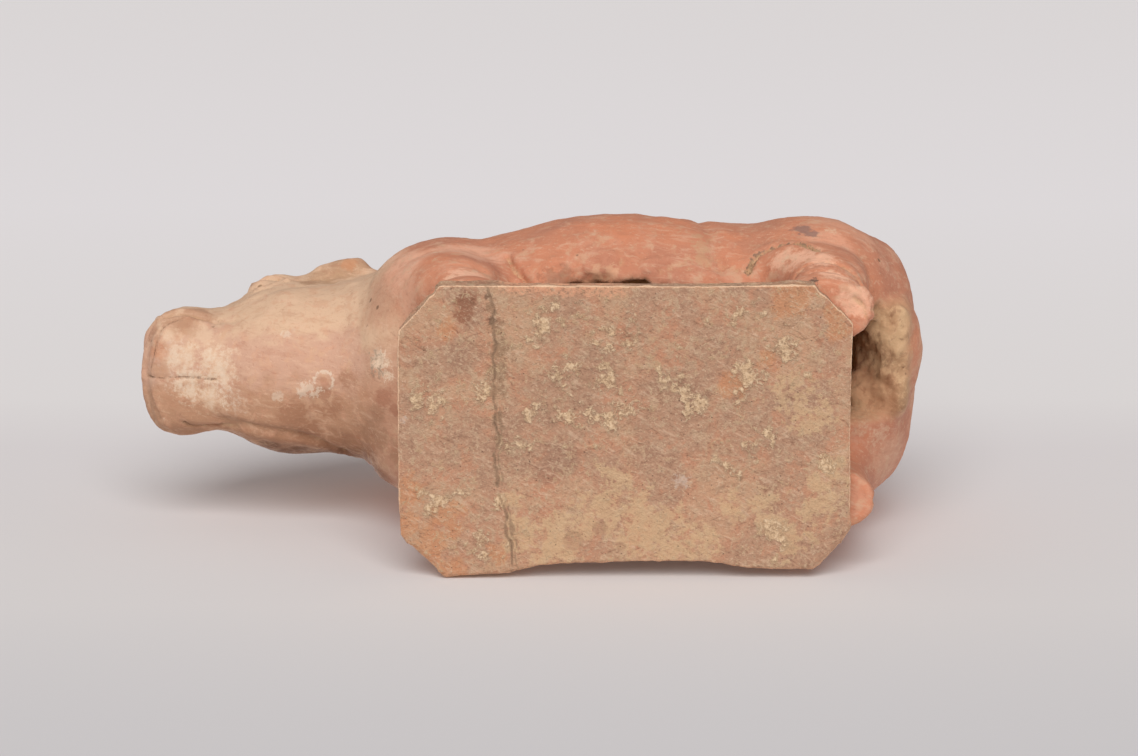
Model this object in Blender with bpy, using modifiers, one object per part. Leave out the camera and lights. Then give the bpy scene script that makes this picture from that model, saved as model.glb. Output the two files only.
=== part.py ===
"""Tomb ox: an open-bellied earthenware ox, pressed in a mould and luted to a slab plinth.

Run with: blender --background --python part.py
Metres, +Z up. The origin is the centre of the plinth's underside and the head points to -Y.
Sizes below are in millimetres; MM turns them into metres.
"""

import math
from collections import namedtuple

import bmesh
import bpy
from mathutils import Matrix, Vector

MM = 0.001

# Driving dimensions
PLINTH_LENGTH = 125.0
PLINTH_WIDTH = 80.0
PLINTH_THICKNESS = 6.7
# How far each cut corner reaches along X and along Y: front left, rear left, rear right, front right
CORNER_CUTS = ((13.0, 11.5), (11.0, 11.0), (12.0, 9.0), (12.0, 12.5))
PLINTH_FLARE = 2.6  # the plinth's front right corner stands out this much
JOINT_GAP = 0.3
FOOT_LEVEL = PLINTH_THICKNESS + JOINT_GAP

MIDLINE = 4.5  # the ox stands this far to the left of the plinth's centre line
RUMP_Y = 88.2
CHEST_Y = -76.0
MUZZLE_Y = -141.8
JAW_Y = -139.0
BODY_WIDTH = 90.0
HORN_TOP = 126.0

# Fineness of the fused clay skin
ROUGH_VOXEL = 2.0
SKIN_VOXEL = 1.5
SKIN_SOFTENING = 8
SKIN_TRIANGLES_KEPT = 0.067
RING_SIDES = 28
RINGS_PER_SECTION = 5

# A section across the long axis of a mass: its place along Y, its middle in X, its half width,
# and the levels of its underside, its widest line and its top.
Section = namedtuple("Section", "y x half low wide high")
# A section across a leg: its level, its centre and its half sizes along X and Y.
LegSection = namedtuple("LegSection", "z x y half_x half_y")

TORSO = [
    Section(RUMP_Y, MIDLINE + 1, 9, 72, 80, 88),
    Section(87, MIDLINE + 0.5, 18, 65, 80, 93),
    Section(84.6, MIDLINE - 0.5, 29, 58, 79, 100),
    Section(78.5, MIDLINE - 0.5, 36.5, 46, 77, 107),
    Section(66, MIDLINE, 40, 38, 74, 111),
    Section(52, MIDLINE, 41, 34, 72, 110),
    Section(36, MIDLINE, 41.5, 31, 71, 106.5),
    Section(20, MIDLINE, 43, 30, 71, 104),
    Section(0, MIDLINE, 44.8, 30, 70, 103),
    Section(-15, MIDLINE, 43.6, 30, 70, 105),
    Section(-30, MIDLINE, 40, 32, 70, 110),
    Section(-45, MIDLINE, 36, 35, 71, 116),
    Section(-58, MIDLINE - 0.5, 33.5, 37, 71, 118),
    Section(-70, MIDLINE - 1, 29, 42, 73, 115),
    Section(CHEST_Y, MIDLINE - 1.6, 20, 53, 76, 104),
]

NECK = [
    Section(-44, MIDLINE, 30, 42, 80, 116),
    Section(-56, MIDLINE - 0.8, 31.5, 41, 80, 118),
    Section(-66, MIDLINE - 1.6, 30.5, 43, 80, 118),
    Section(-76, MIDLINE - 2.6, 28, 46.5, 81, 115),
    Section(-86, MIDLINE - 3.2, 25.5, 49.5, 82, 111),
    Section(-95, MIDLINE - 3.4, 22, 53, 83, 106),
]

# The skull and the upper half of the muzzle
HEAD = [
    Section(-76, MIDLINE - 2, 17, 68, 92, 106),
    Section(-83, MIDLINE - 2.5, 22, 64, 92, 115),
    Section(-92, MIDLINE - 3.4, 25.4, 60, 90, 116),
    Section(-101, MIDLINE - 3.4, 26, 58, 88, 110.5),
    Section(-109, MIDLINE - 3, 23.8, 58, 84, 104),
    Section(-115, MIDLINE - 2.6, 20, 60, 80, 99),
    Section(-121, MIDLINE - 2.4, 18, 60.5, 76, 94),
    Section(-127, MIDLINE - 2.3, 19, 60.5, 73, 89.5),
    Section(-132, MIDLINE - 2.3, 19.4, 60.5, 72, 87),
    Section(-138, MIDLINE - 2.6, 16.8, 62, 72, 84),
    Section(MUZZLE_Y, MIDLINE - 2.8, 11.5, 64, 72, 79),
]
JAW = [
    Section(-78, MIDLINE - 2.5, 20, 56, 84, 92),
    Section(-86, MIDLINE - 2.6, 24, 51.5, 86, 98),
    Section(-94, MIDLINE - 3, 25.2, 50, 86, 98),
    Section(-102, MIDLINE - 3.3, 24.6, 50, 84, 96),
    Section(-110, MIDLINE - 3.4, 21.4, 52, 79, 90),
    Section(-117, MIDLINE - 2.8, 17.6, 54.5, 73, 82),
    Section(-124, MIDLINE - 2.4, 16.2, 55.8, 67, 72),
    Section(-130, MIDLINE - 2.2, 17, 56, 64, 68),
    Section(-136, MIDLINE - 2.2, 16.4, 57, 63, 67),
    Section(JAW_Y, MIDLINE - 2.2, 12.5, 59, 63, 66.5),
]

LEG_OFFSET = 26.0  # from the ox's midline to the middle of a leg
HOOF_TOP = 15.5
FORELEG = [
    LegSection(72, LEG_OFFSET - 5, -51, 12, 20),
    LegSection(54, LEG_OFFSET - 2.5, -50, 13, 18.5),
    LegSection(42, LEG_OFFSET + 0.2, -49, 11.4, 16),
    LegSection(32, LEG_OFFSET + 0.8, -47, 9.8, 13.2),
    LegSection(23, LEG_OFFSET + 0.5, -44.8, 8.6, 10.6),
    LegSection(HOOF_TOP + 1, LEG_OFFSET + 0.2, -43.8, 8.5, 10),
    LegSection(HOOF_TOP - 1.5, LEG_OFFSET, -43.6, 9.6, 11.6),
    LegSection(HOOF_TOP - 5, LEG_OFFSET - 0.1, -43.6, 10.2, 12.8),
    LegSection(HOOF_TOP - 8, LEG_OFFSET - 0.1, -43.6, 9.6, 12.2),
    LegSection(0, LEG_OFFSET - 0.2, -43.6, 7, 9.5),
]
HINDLEG = [
    LegSection(72, LEG_OFFSET - 5, 52, 14, 24),
    LegSection(54, LEG_OFFSET - 1, 53, 14, 20),
    LegSection(42, LEG_OFFSET + 3, 54, 12, 16),
    LegSection(34, LEG_OFFSET + 3.4, 56, 10.4, 13),
    LegSection(27, LEG_OFFSET + 3.2, 57, 9.8, 12),
    LegSection(21, LEG_OFFSET + 2.2, 56, 9.2, 11.2),
    LegSection(HOOF_TOP + 1, LEG_OFFSET + 1.4, 55, 8.8, 11.8),
    LegSection(HOOF_TOP - 1.5, LEG_OFFSET + 1.0, 54.6, 9.2, 13.2),
    LegSection(HOOF_TOP - 5, LEG_OFFSET + 0.8, 54.4, 9.6, 14.4),
    LegSection(HOOF_TOP - 8, LEG_OFFSET + 0.6, 54.4, 9.0, 13.8),
    LegSection(0, LEG_OFFSET + 0.4, 54.4, 6.5, 11),
]
HOOF_RIM = -3  # counted from the end, the section where a hoof is widest
HIND_STEP = 1.6  # the right hind hoof stands this much further back

# Muscle masses on each flank: offset from the midline, y, z, then half sizes in X, Y and Z
HAUNCH = (24, 54, 68, 20.8, 27.5, 33)
HIP = (20, 40, 97, 9, 11, 8)
SHOULDER = (20, -51, 68, 18.2, 24, 36)
# The brisket fills the chest between the forelegs: the same, and it lies on the midline
BRISKET = (0, -56, 57, 34, 23.5, 21.5)
BROW = (18.5, -103.5, 96, 8.2, 10.5, 6.4)
CHEEK = (13.5, -97, 76, 12.2, 15, 14)

# The hollow inside, and the ragged mouth where the belly is open
CAVITY = [
    Section(-58, MIDLINE, 6, 70, 78, 88),
    Section(-50, MIDLINE, 17, 58, 76, 100),
    Section(-36, MIDLINE, 27, 46, 73, 100),
    Section(-15, MIDLINE, 34, 38, 70, 97),
    Section(5, MIDLINE, 36, 36, 70, 96),
    Section(25, MIDLINE, 34, 38, 71, 97),
    Section(45, MIDLINE, 31, 46, 73, 99),
    Section(62, MIDLINE, 29, 52, 75, 99),
    Section(74, MIDLINE, 22, 56, 76, 95),
    Section(80, MIDLINE, 8, 66, 76, 86),
]
BELLY_MOUTH = [
    Section(-31, MIDLINE, 12, 10, 40, 48),
    Section(-26, MIDLINE, 22, 10, 42, 56),
    Section(-12, MIDLINE, 28.5, 10, 44, 62),
    Section(8, MIDLINE, 28.5, 10, 44, 62),
    Section(26, MIDLINE, 23, 10, 44, 60),
    Section(36, MIDLINE, 12, 10, 44, 60),
]
REAR_SLOT = [
    Section(28, MIDLINE + 0.5, 11, 14, 50, 72),
    Section(50, MIDLINE + 0.5, 11, 14, 52, 74),
    Section(63, MIDLINE + 1.5, 11.5, 18, 52, 71),
    Section(68.5, MIDLINE + 3, 12.5, 22, 50, 62),
    Section(74, MIDLINE + 3.5, 13, 26, 48, 57.5),
    Section(80, MIDLINE + 3.5, 12, 30, 48, 57),
    Section(85.5, MIDLINE + 3.5, 6, 40, 50, 56),
]
# The arched space below the flanks, from the forelegs to the hind legs, as (y, level)
FLANK_ARCH = [
    (-34, -5), (-33.5, 20), (-31, 33), (-25, 38), (-17, 41.5), (-9, 42.5), (-1, 41), (8, 38.5),
    (20, 37.5), (29, 36.5), (35, 32), (38.5, 20), (39, -5),
]


# ---------------------------------------------------------------- building blocks


def spread(sections, steps=RINGS_PER_SECTION):
    """The sections with smooth in-between ones, so that a loft runs through every section given."""
    kind = type(sections[0])
    made = []
    last = len(sections) - 1
    for i in range(last):
        before, here, there, after = (
            sections[max(i - 1, 0)],
            sections[i],
            sections[i + 1],
            sections[min(i + 2, last)],
        )
        for step in range(steps):
            t = step / steps
            made.append(kind(*(
                0.5 * (2 * q + (r - p) * t + (2 * p - 5 * q + 4 * r - s) * t * t
                       + (3 * q - p - 3 * r + s) * t ** 3)
                for p, q, r, s in zip(before, here, there, after)
            )))
    made.append(sections[last])
    return made


def rounded(value, power):
    """A cosine or sine drawn out towards a squarer oval as power passes 2."""
    return math.copysign(abs(value) ** (2 / power), value)


def body_ring(section, power):
    """Points round one cross-section of the body, the head or a cavity, in metres."""
    for k in range(RING_SIDES):
        angle = 2 * math.pi * k / RING_SIDES
        across = rounded(math.cos(angle), power)
        along_z = rounded(math.sin(angle), power)
        reach = section.high - section.wide if along_z > 0 else section.wide - section.low
        yield Vector((
            section.x + section.half * across,
            section.y,
            section.wide + reach * along_z,
        )) * MM


def leg_ring(section, power):
    """Points round one cross-section of a leg, in metres."""
    for k in range(RING_SIDES):
        angle = 2 * math.pi * k / RING_SIDES
        yield Vector((
            section.x + section.half_x * rounded(math.cos(angle), power),
            section.y + section.half_y * rounded(math.sin(angle), power),
            section.z,
        )) * MM


def loft(bm, sections, ring, power=2.2):
    """A closed skin over the sections, added to bm."""
    rings = [[bm.verts.new(p) for p in ring(s, power)] for s in spread(sections)]
    faces = []
    for first, second in zip(rings, rings[1:]):
        for k in range(RING_SIDES):
            after = (k + 1) % RING_SIDES
            faces.append(bm.faces.new((first[k], first[after], second[after], second[k])))
    faces.append(bm.faces.new(rings[0]))
    faces.append(bm.faces.new(rings[-1]))
    bmesh.ops.recalc_face_normals(bm, faces=faces)


def add_ellipsoid(bm, centre, halves, turn=None, segments=32, rings=20):
    """A ball scaled to its half sizes, added to bm; sizes in millimetres."""
    matrix = Matrix.Translation(Vector(centre) * MM)
    if turn is not None:
        matrix @= turn
    matrix @= Matrix.Diagonal((*(h * MM for h in halves), 1))
    bmesh.ops.create_uvsphere(
        bm, u_segments=segments, v_segments=rings, radius=1, matrix=matrix
    )


def tapered_tube(bm, points, radii, flat=1.0, sides=6):
    """A tube along a smooth curve with its own radius at each point, added to bm."""
    curve = bpy.data.curves.new("tube", "CURVE")
    curve.dimensions = "3D"
    curve.bevel_depth = MM
    curve.bevel_resolution = sides
    curve.use_fill_caps = True
    spline = curve.splines.new("NURBS")
    spline.points.add(len(points) - 1)
    for point, place, radius in zip(spline.points, points, radii):
        point.co = (*(Vector(place) * MM), 1)
        point.radius = radius
    spline.order_u = 3
    spline.use_endpoint_u = True
    guide = bpy.data.objects.new("tube", curve)
    bpy.context.scene.collection.objects.link(guide)
    bpy.context.view_layer.update()
    mesh = bpy.data.meshes.new_from_object(guide.evaluated_get(bpy.context.evaluated_depsgraph_get()))
    start = len(bm.verts)
    bm.from_mesh(mesh)
    bm.verts.ensure_lookup_table()
    new_verts = bm.verts[start:]
    middle = sum((v.co for v in new_verts), Vector()) / len(new_verts)
    for vert in new_verts:
        vert.co.z = middle.z + (vert.co.z - middle.z) * flat
    bmesh.ops.remove_doubles(bm, verts=new_verts, dist=0.01 * MM)
    bpy.data.objects.remove(guide)
    bpy.data.curves.remove(curve)
    bpy.data.meshes.remove(mesh)


def standing(section, side):
    """A leg section set on the left (side 1) or the right (side -1) of the ox's midline."""
    step = HIND_STEP if side < 0 and section.y > 0 else 0
    return section._replace(x=MIDLINE + side * section.x, y=section.y + step)


def object_from(bm, name, collection, material=None):
    """An object holding bm's mesh, linked to the collection."""
    mesh = bpy.data.meshes.new(name)
    bm.to_mesh(mesh)
    bm.free()
    made = bpy.data.objects.new(name, mesh)
    collection.objects.link(made)
    if material is not None:
        mesh.materials.append(material)
    return made


def cutter_from(bm, name, cutters):
    """A hidden object that cuts a shape out of another."""
    made = object_from(bm, name, cutters)
    made.hide_render = True
    made.display_type = "WIRE"
    return made


def boolean(target, other, operation="DIFFERENCE"):
    modifier = target.modifiers.new(other.name, "BOOLEAN")
    modifier.operation = operation
    modifier.solver = "EXACT"
    modifier.object = other
    return modifier


def earthenware(name, colour, roughness):
    """A fired, unglazed clay surface."""
    material = bpy.data.materials.new(name)
    material.use_nodes = True
    shader = material.node_tree.nodes["Principled BSDF"]
    shader.inputs["Base Color"].default_value = (*colour, 1)
    shader.inputs["Roughness"].default_value = roughness
    shader.inputs["Metallic"].default_value = 0
    return material


# ---------------------------------------------------------------- the ox


def add_horn(bm, side):
    """One short horn, out from the poll, then up and inwards."""
    middle = MIDLINE - 2.8
    tapered_tube(
        bm,
        [
            (middle + side * 7, -85, 107),
            (middle + side * 14.5, -85, 110),
            (middle + side * 19, -86, 118),
            (middle + side * 14.5, -91, HORN_TOP),
        ],
        [6.8, 6.2, 5.0, 2.4],
    )


def add_ear(bm, side):
    """One ear, laid back from behind the brow; the right one lies closer to the neck."""
    middle = MIDLINE - 3
    reach = 1.0 if side > 0 else 0.86
    tapered_tube(
        bm,
        [
            (middle + side * 17 * reach, -99, 96),
            (middle + side * 21.8 * reach, -94, 96.5),
            (middle + side * 25.8 * reach, -86, 97),
            (middle + side * 29.6 * reach, -76.5, 97),
        ],
        [3.6, 5.2, 5.6, 3.2],
        flat=0.8,
    )


def add_tail(bm):
    """The tail, down the middle of the rump, its tuft ending at the upper edge of the slot."""
    tapered_tube(
        bm,
        [
            (MIDLINE, 66, 109),
            (MIDLINE, 77, 106.5),
            (MIDLINE, 82.6, 99),
            (MIDLINE, 84.2, 88),
            (MIDLINE, 83.8, 77),
            (MIDLINE + 0.5, 81.6, 68),
            (MIDLINE + 0.5, 79, 62),
        ],
        [4.6, 5.6, 5.4, 5.2, 5.4, 5.2, 3.4],
    )


def clay_masses():
    """Every mass of the ox, overlapping, as one loose mesh that the skin then closes over."""
    bm = bmesh.new()
    loft(bm, TORSO, body_ring, power=2.4)
    loft(bm, NECK, body_ring, power=2.0)
    loft(bm, HEAD, body_ring, power=2.5)
    loft(bm, JAW, body_ring, power=2.3)
    for side in (1, -1):
        for leg in (FORELEG, HINDLEG):
            loft(bm, [standing(s, side) for s in leg], leg_ring, power=2.1)
        for offset, y, z, half_x, half_y, half_z in (HAUNCH, HIP, SHOULDER):
            add_ellipsoid(bm, (MIDLINE + side * offset, y, z), (half_x, half_y, half_z))
        if side < 0:
            # The right shoulder stands further forward
            add_ellipsoid(bm, (MIDLINE - 23, -58.5, 66), (15, 18, 28))
        for offset, y, z, half_x, half_y, half_z in (BROW, CHEEK):
            add_ellipsoid(bm, (MIDLINE - 3 + side * offset, y, z), (half_x, half_y, half_z))
        add_horn(bm, side)
        add_ear(bm, side)
    offset, y, z, half_x, half_y, half_z = BRISKET
    add_ellipsoid(bm, (MIDLINE + offset, y, z), (half_x, half_y, half_z))
    add_tail(bm)
    return bm


def hollow_cutters(cutters):
    """The inner hollow, the mouth in the belly, the slot under the rump and the arch below the flanks."""
    made = []
    for name, sections, power in (
        ("hollow", CAVITY, 2.2),
        ("belly_mouth", BELLY_MOUTH, 3.0),
        ("rear_slot", REAR_SLOT, 2.6),
    ):
        bm = bmesh.new()
        loft(bm, sections, body_ring, power)
        made.append(cutter_from(bm, name, cutters))
    bm = bmesh.new()
    low, high = -BODY_WIDTH, BODY_WIDTH
    outline = [bm.verts.new(Vector((low, y, z)) * MM) for y, z in FLANK_ARCH]
    face = bm.faces.new(outline)
    swept = bmesh.ops.extrude_face_region(bm, geom=[face])
    moved = [v for v in swept["geom"] if isinstance(v, bmesh.types.BMVert)]
    bmesh.ops.translate(bm, verts=moved, vec=Vector((high - low, 0, 0)) * MM)
    bmesh.ops.recalc_face_normals(bm, faces=bm.faces)
    made.append(cutter_from(bm, "flank_arch", cutters))
    return made


def foot_cutter(cutters):
    """A block whose top levels the four hooves where they meet the plinth."""
    bm = bmesh.new()
    depth = 30.0
    bmesh.ops.create_cube(
        bm,
        size=1,
        matrix=Matrix.Translation(Vector((0, 0, FOOT_LEVEL - depth / 2)) * MM)
        @ Matrix.Diagonal((200 * MM, 300 * MM, depth * MM, 1)),
    )
    return cutter_from(bm, "foot_level", cutters)


def mouth_cutter(cutters):
    """A thin U that parts the lips round the front of the muzzle."""
    middle = MIDLINE - 2.2
    corner_y, level, opening = -123.0, 67.5, 1.1
    half_x, half_y = 18.6, corner_y - MUZZLE_Y
    depth_x, depth_y, clear = 2.4, 4.6, 6.0
    bm = bmesh.new()
    outline = []
    inner, outer = (half_x - depth_x, half_y - depth_y), (half_x + clear, half_y + clear)
    for (reach_x, reach_y), turns in ((inner, range(17)), (outer, range(16, -1, -1))):
        for k in turns:
            angle = math.pi * (1 + k / 16)
            outline.append(bm.verts.new(Vector((
                middle + reach_x * rounded(math.cos(angle), 3),
                corner_y + reach_y * rounded(math.sin(angle), 3),
                level - opening / 2,
            )) * MM))
    face = bm.faces.new(outline)
    swept = bmesh.ops.extrude_face_region(bm, geom=[face])
    top = [v for v in swept["geom"] if isinstance(v, bmesh.types.BMVert)]
    bmesh.ops.translate(bm, verts=top, vec=(0, 0, opening * MM))
    bmesh.ops.recalc_face_normals(bm, faces=bm.faces)
    return cutter_from(bm, "mouth", cutters)


def face_cutters(cutters):
    """The slanting nostrils, one at each side of the muzzle's front."""
    bm = bmesh.new()
    middle = MIDLINE - 2.4
    for side in (1, -1):
        add_ellipsoid(
            bm,
            (middle + side * 11, MUZZLE_Y + 3, 77),
            (1.9, 4.4, 3.6),
            Matrix.Rotation(side * math.radians(-32), 4, "Z")
            @ Matrix.Rotation(side * math.radians(-30), 4, "Y"),
            segments=12,
            rings=8,
        )
    return cutter_from(bm, "nostrils", cutters)


def cleft_cutters(cutters):
    """The split at the front of each hoof."""
    bm = bmesh.new()
    for side in (1, -1):
        for leg in (FORELEG, HINDLEG):
            foot = standing(leg[HOOF_RIM], side)
            matrix = (
                Matrix.Translation(Vector((foot.x, foot.y - foot.half_y, 6)) * MM)
                @ Matrix.Rotation(math.radians(45), 4, "Z")
                @ Matrix.Diagonal((3.2 * MM, 3.2 * MM, 16 * MM, 1))
            )
            bmesh.ops.create_cube(bm, size=1, matrix=matrix)
    return cutter_from(bm, "clefts", cutters)


def eye_balls(cutters):
    """The eyes, which stand out under the brow."""
    bm = bmesh.new()
    for side in (1, -1):
        add_ellipsoid(
            bm,
            (MIDLINE - 3 + side * 21, -108, 89.5),
            (4.0, 4.8, 3.7),
            segments=16,
            rings=10,
        )
    return cutter_from(bm, "eyes", cutters)


def build_ox(collection, cutters, clay):
    ox = object_from(clay_masses(), "ox", collection, clay)

    fuse = ox.modifiers.new("fuse", "REMESH")
    fuse.mode = "VOXEL"
    fuse.voxel_size = ROUGH_VOXEL * MM
    for cutter in hollow_cutters(cutters):
        boolean(ox, cutter)

    even = ox.modifiers.new("even", "REMESH")
    even.mode = "VOXEL"
    even.voxel_size = SKIN_VOXEL * MM

    soften = ox.modifiers.new("soften", "SMOOTH")
    soften.factor = 0.5
    soften.iterations = SKIN_SOFTENING

    thin = ox.modifiers.new("thin", "DECIMATE")
    thin.ratio = SKIN_TRIANGLES_KEPT
    thin.use_collapse_triangulate = True

    boolean(ox, eye_balls(cutters), "UNION")
    boolean(ox, mouth_cutter(cutters))
    boolean(ox, face_cutters(cutters))
    boolean(ox, cleft_cutters(cutters))
    boolean(ox, foot_cutter(cutters))
    return ox


# ---------------------------------------------------------------- the plinth


def bowed(start, end, bow, count):
    """Points from start to end, bent inwards by bow at the middle; the end point is left out."""
    run = Vector(end) - Vector(start)
    inwards = Vector((-run.y, run.x)).normalized()
    for k in range(count):
        t = k / count
        yield Vector(start) + run * t + inwards * bow * math.sin(math.pi * t)


def build_plinth(collection, clay):
    """The slab with its four corners cut off, its right edge worn hollow between them."""
    half_x, half_y = PLINTH_WIDTH / 2, PLINTH_LENGTH / 2
    front_left, rear_left, rear_right, front_right = CORNER_CUTS
    flared = -half_x - PLINTH_FLARE
    corners = [
        (half_x, -half_y + front_left[1]),
        (half_x, half_y - rear_left[1]),
        (half_x - rear_left[0], half_y),
        (-half_x + rear_right[0], half_y),
        (-half_x - 0.6, half_y - rear_right[1]),
        (flared, -half_y + front_right[1]),
        (flared + front_right[0], -half_y),
        (half_x - front_left[0], -half_y),
    ]
    bows = [0.4, -0.2, 0.3, -1.1, 1.5, -0.8, -0.5, 0.2]
    counts = [6, 2, 4, 2, 10, 3, 4, 2]
    bm = bmesh.new()
    outline = []
    for i, (start, bow, count) in enumerate(zip(corners, bows, counts)):
        end = corners[(i + 1) % len(corners)]
        outline += [bm.verts.new((p.x * MM, p.y * MM, 0)) for p in bowed(start, end, bow, count)]
    face = bm.faces.new(outline)
    swept = bmesh.ops.extrude_face_region(bm, geom=[face])
    top = [v for v in swept["geom"] if isinstance(v, bmesh.types.BMVert)]
    bmesh.ops.translate(bm, verts=top, vec=(0, 0, PLINTH_THICKNESS * MM))
    bmesh.ops.recalc_face_normals(bm, faces=bm.faces)
    plinth = object_from(bm, "plinth", collection, clay)
    edge = plinth.modifiers.new("worn_edge", "BEVEL")
    edge.width = 0.9 * MM
    edge.segments = 2
    edge.limit_method = "ANGLE"
    edge.angle_limit = math.radians(50)
    return plinth


def main():
    for old in list(bpy.data.objects):
        bpy.data.objects.remove(old)
    collection = bpy.data.collections.new("tomb_ox")
    cutters = bpy.data.collections.new("cutters")
    bpy.context.scene.collection.children.link(collection)
    bpy.context.scene.collection.children.link(cutters)
    cutters.hide_render = True

    red_clay = earthenware("red_earthenware", (0.60, 0.28, 0.17), 0.85)
    slab_clay = earthenware("soiled_earthenware", (0.47, 0.29, 0.19), 0.92)
    build_plinth(collection, slab_clay)
    build_ox(collection, cutters, red_clay)


main()
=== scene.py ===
"""Looks of the tomb ox: the weathered earthenware ox and its soiled plinth, modelled over the solid parts."""

import math

import bmesh
import bpy
import numpy as np
from mathutils import Matrix, Vector
from mathutils.bvhtree import BVHTree


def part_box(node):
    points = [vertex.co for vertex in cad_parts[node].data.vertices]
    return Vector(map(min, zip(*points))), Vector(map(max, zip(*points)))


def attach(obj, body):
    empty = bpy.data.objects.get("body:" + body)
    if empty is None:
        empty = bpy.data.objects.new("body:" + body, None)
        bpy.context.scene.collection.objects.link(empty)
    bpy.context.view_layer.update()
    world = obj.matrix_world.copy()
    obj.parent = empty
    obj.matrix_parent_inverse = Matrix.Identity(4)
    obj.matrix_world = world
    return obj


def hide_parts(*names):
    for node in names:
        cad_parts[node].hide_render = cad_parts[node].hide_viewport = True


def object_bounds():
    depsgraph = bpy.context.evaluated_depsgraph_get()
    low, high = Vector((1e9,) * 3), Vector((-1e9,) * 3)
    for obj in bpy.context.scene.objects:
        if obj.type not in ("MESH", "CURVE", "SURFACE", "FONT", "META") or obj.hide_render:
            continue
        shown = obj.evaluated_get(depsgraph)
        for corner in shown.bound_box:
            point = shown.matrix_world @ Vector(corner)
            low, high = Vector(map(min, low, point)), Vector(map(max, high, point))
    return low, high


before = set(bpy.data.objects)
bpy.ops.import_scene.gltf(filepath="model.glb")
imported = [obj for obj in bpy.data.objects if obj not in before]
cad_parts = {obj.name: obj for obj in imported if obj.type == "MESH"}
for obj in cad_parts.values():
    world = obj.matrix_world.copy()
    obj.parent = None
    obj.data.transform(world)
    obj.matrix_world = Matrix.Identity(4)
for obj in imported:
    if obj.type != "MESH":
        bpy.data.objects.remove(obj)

SOLID_LOW, SOLID_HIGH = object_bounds()
OX_LOW, OX_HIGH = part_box("ox")
SLAB_LOW, SLAB_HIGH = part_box("plinth")

# Places below are in millimetres; MM turns them into metres
MM = 0.001
MIDLINE = (OX_LOW.x + OX_HIGH.x) / 2 / MM
HEAD_MIDLINE = MIDLINE - 3
MUZZLE_Y = OX_LOW.y / MM
RUMP_Y = OX_HIGH.y / MM
SLAB_TOP = SLAB_HIGH.z / MM
HOLLOW_Z = 76
MOUTH_Z = 66.5
LEG_OFFSET = 27
FORELEG_Y = -43.6
HINDLEG_Y = 54.4

# The crevice where the left hind leg leaves the belly
STIFLE_LINE = (
    (36.7, 35.7, 41.8), (39, 37.4, 44.5), (41.2, 39.1, 46.7), (43.3, 44.7, 46), (44.5, 49.5, 41.5),
    (44.6, 52, 37.4), (43.8, 54.8, 33),
)

# The size of the faces in the two new skins, and the triangles that each piece keeps
SKIN_VOXEL = 0.62 * MM
SLAB_VOXEL = 0.45 * MM
TRIANGLES = 194000

# The random lumps pick one of so many levels for each cell, by the cell's whole numbers times these primes
CLOUD_LEVELS = 4096
CELL_PRIMES = np.array((7919, 104729, 1299709))


# ---------------------------------------------------------------- modelling helpers


def merged_copy(node, name):
    """A closed copy of a solid part's mesh, ready to be worked on."""
    made = bpy.data.objects.new(name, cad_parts[node].data.copy())
    bpy.context.scene.collection.objects.link(made)
    bm = bmesh.new()
    bm.from_mesh(made.data)
    bmesh.ops.remove_doubles(bm, verts=bm.verts, dist=0.001 * MM)
    bmesh.ops.recalc_face_normals(bm, faces=bm.faces)
    bm.to_mesh(made.data)
    bm.free()
    made.data.materials.clear()
    return made


def settle(piece):
    """Turns the modifiers of a piece into its mesh."""
    bpy.context.view_layer.update()
    mesh = bpy.data.meshes.new_from_object(piece.evaluated_get(bpy.context.evaluated_depsgraph_get()))
    piece.modifiers.clear()
    old = piece.data
    piece.data = mesh
    bpy.data.meshes.remove(old)
    mesh.name = piece.name


def reskin(piece, voxel, rounds):
    """An even skin of small faces over the piece, its facets smoothed away."""
    remesh = piece.modifiers.new("skin", "REMESH")
    remesh.mode = "VOXEL"
    remesh.voxel_size = voxel
    smooth = piece.modifiers.new("soften", "SMOOTH")
    smooth.factor = 0.5
    smooth.iterations = rounds
    settle(piece)


def thin(piece, hidden, triangles):
    """Fewer faces where the surface is smooth, most of all where hidden is 1, down to that many triangles."""
    group = piece.vertex_groups.new(name="thinned")
    for chosen, share in ((hidden <= 0.5, 0.25), (hidden > 0.5, 1.0)):
        group.add(np.nonzero(chosen)[0].tolist(), share, "REPLACE")
    piece.data.calc_loop_triangles()
    modifier = piece.modifiers.new("thin", "DECIMATE")
    modifier.ratio = min(1.0, triangles / len(piece.data.loop_triangles))
    modifier.vertex_group = group.name
    modifier.vertex_group_factor = 4
    settle(piece)
    piece.vertex_groups.clear()


def ramped(values, low, high):
    """0 below low, 1 above high, with a smooth step between."""
    t = np.clip((values - low) / (high - low), 0, 1)
    return t * t * (3 - 2 * t)


def cloud(points, size, octaves, seed):
    """Soft random lumps of that size, from about -1 to 1, the same on every run."""
    levels = np.random.default_rng(seed).uniform(-1, 1, CLOUD_LEVELS)
    total, share = np.zeros(len(points)), 1.0
    for k in range(octaves):
        place = points / size * 2.1 ** k + 500 + 17.3 * k
        cell = np.floor(place).astype(np.int64)
        t = place - cell
        t = t * t * (3 - 2 * t)
        for corner in np.ndindex(2, 2, 2):
            weight = np.abs(1 - np.array(corner) - t).prod(1)
            total += share * weight * levels[((cell + corner) @ CELL_PRIMES) % CLOUD_LEVELS]
        share *= 0.55
    return total


def drift(points, size, seed):
    """Soft random shifts in X, Y and Z."""
    return np.stack([cloud(points, size, 2, seed + k) for k in range(3)], 1)


def run_distance(points, path):
    """The distance from each point to a run of straight stretches."""
    best = np.full(len(points), 1e9)
    for start, end in zip(path, path[1:]):
        along = end - start
        t = np.clip((points - start) @ along / max(along @ along, 1e-9), 0, 1)
        gap = points - (start + t[:, None] * along)
        best = np.minimum(best, (gap * gap).sum(1))
    return np.sqrt(best)


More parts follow.
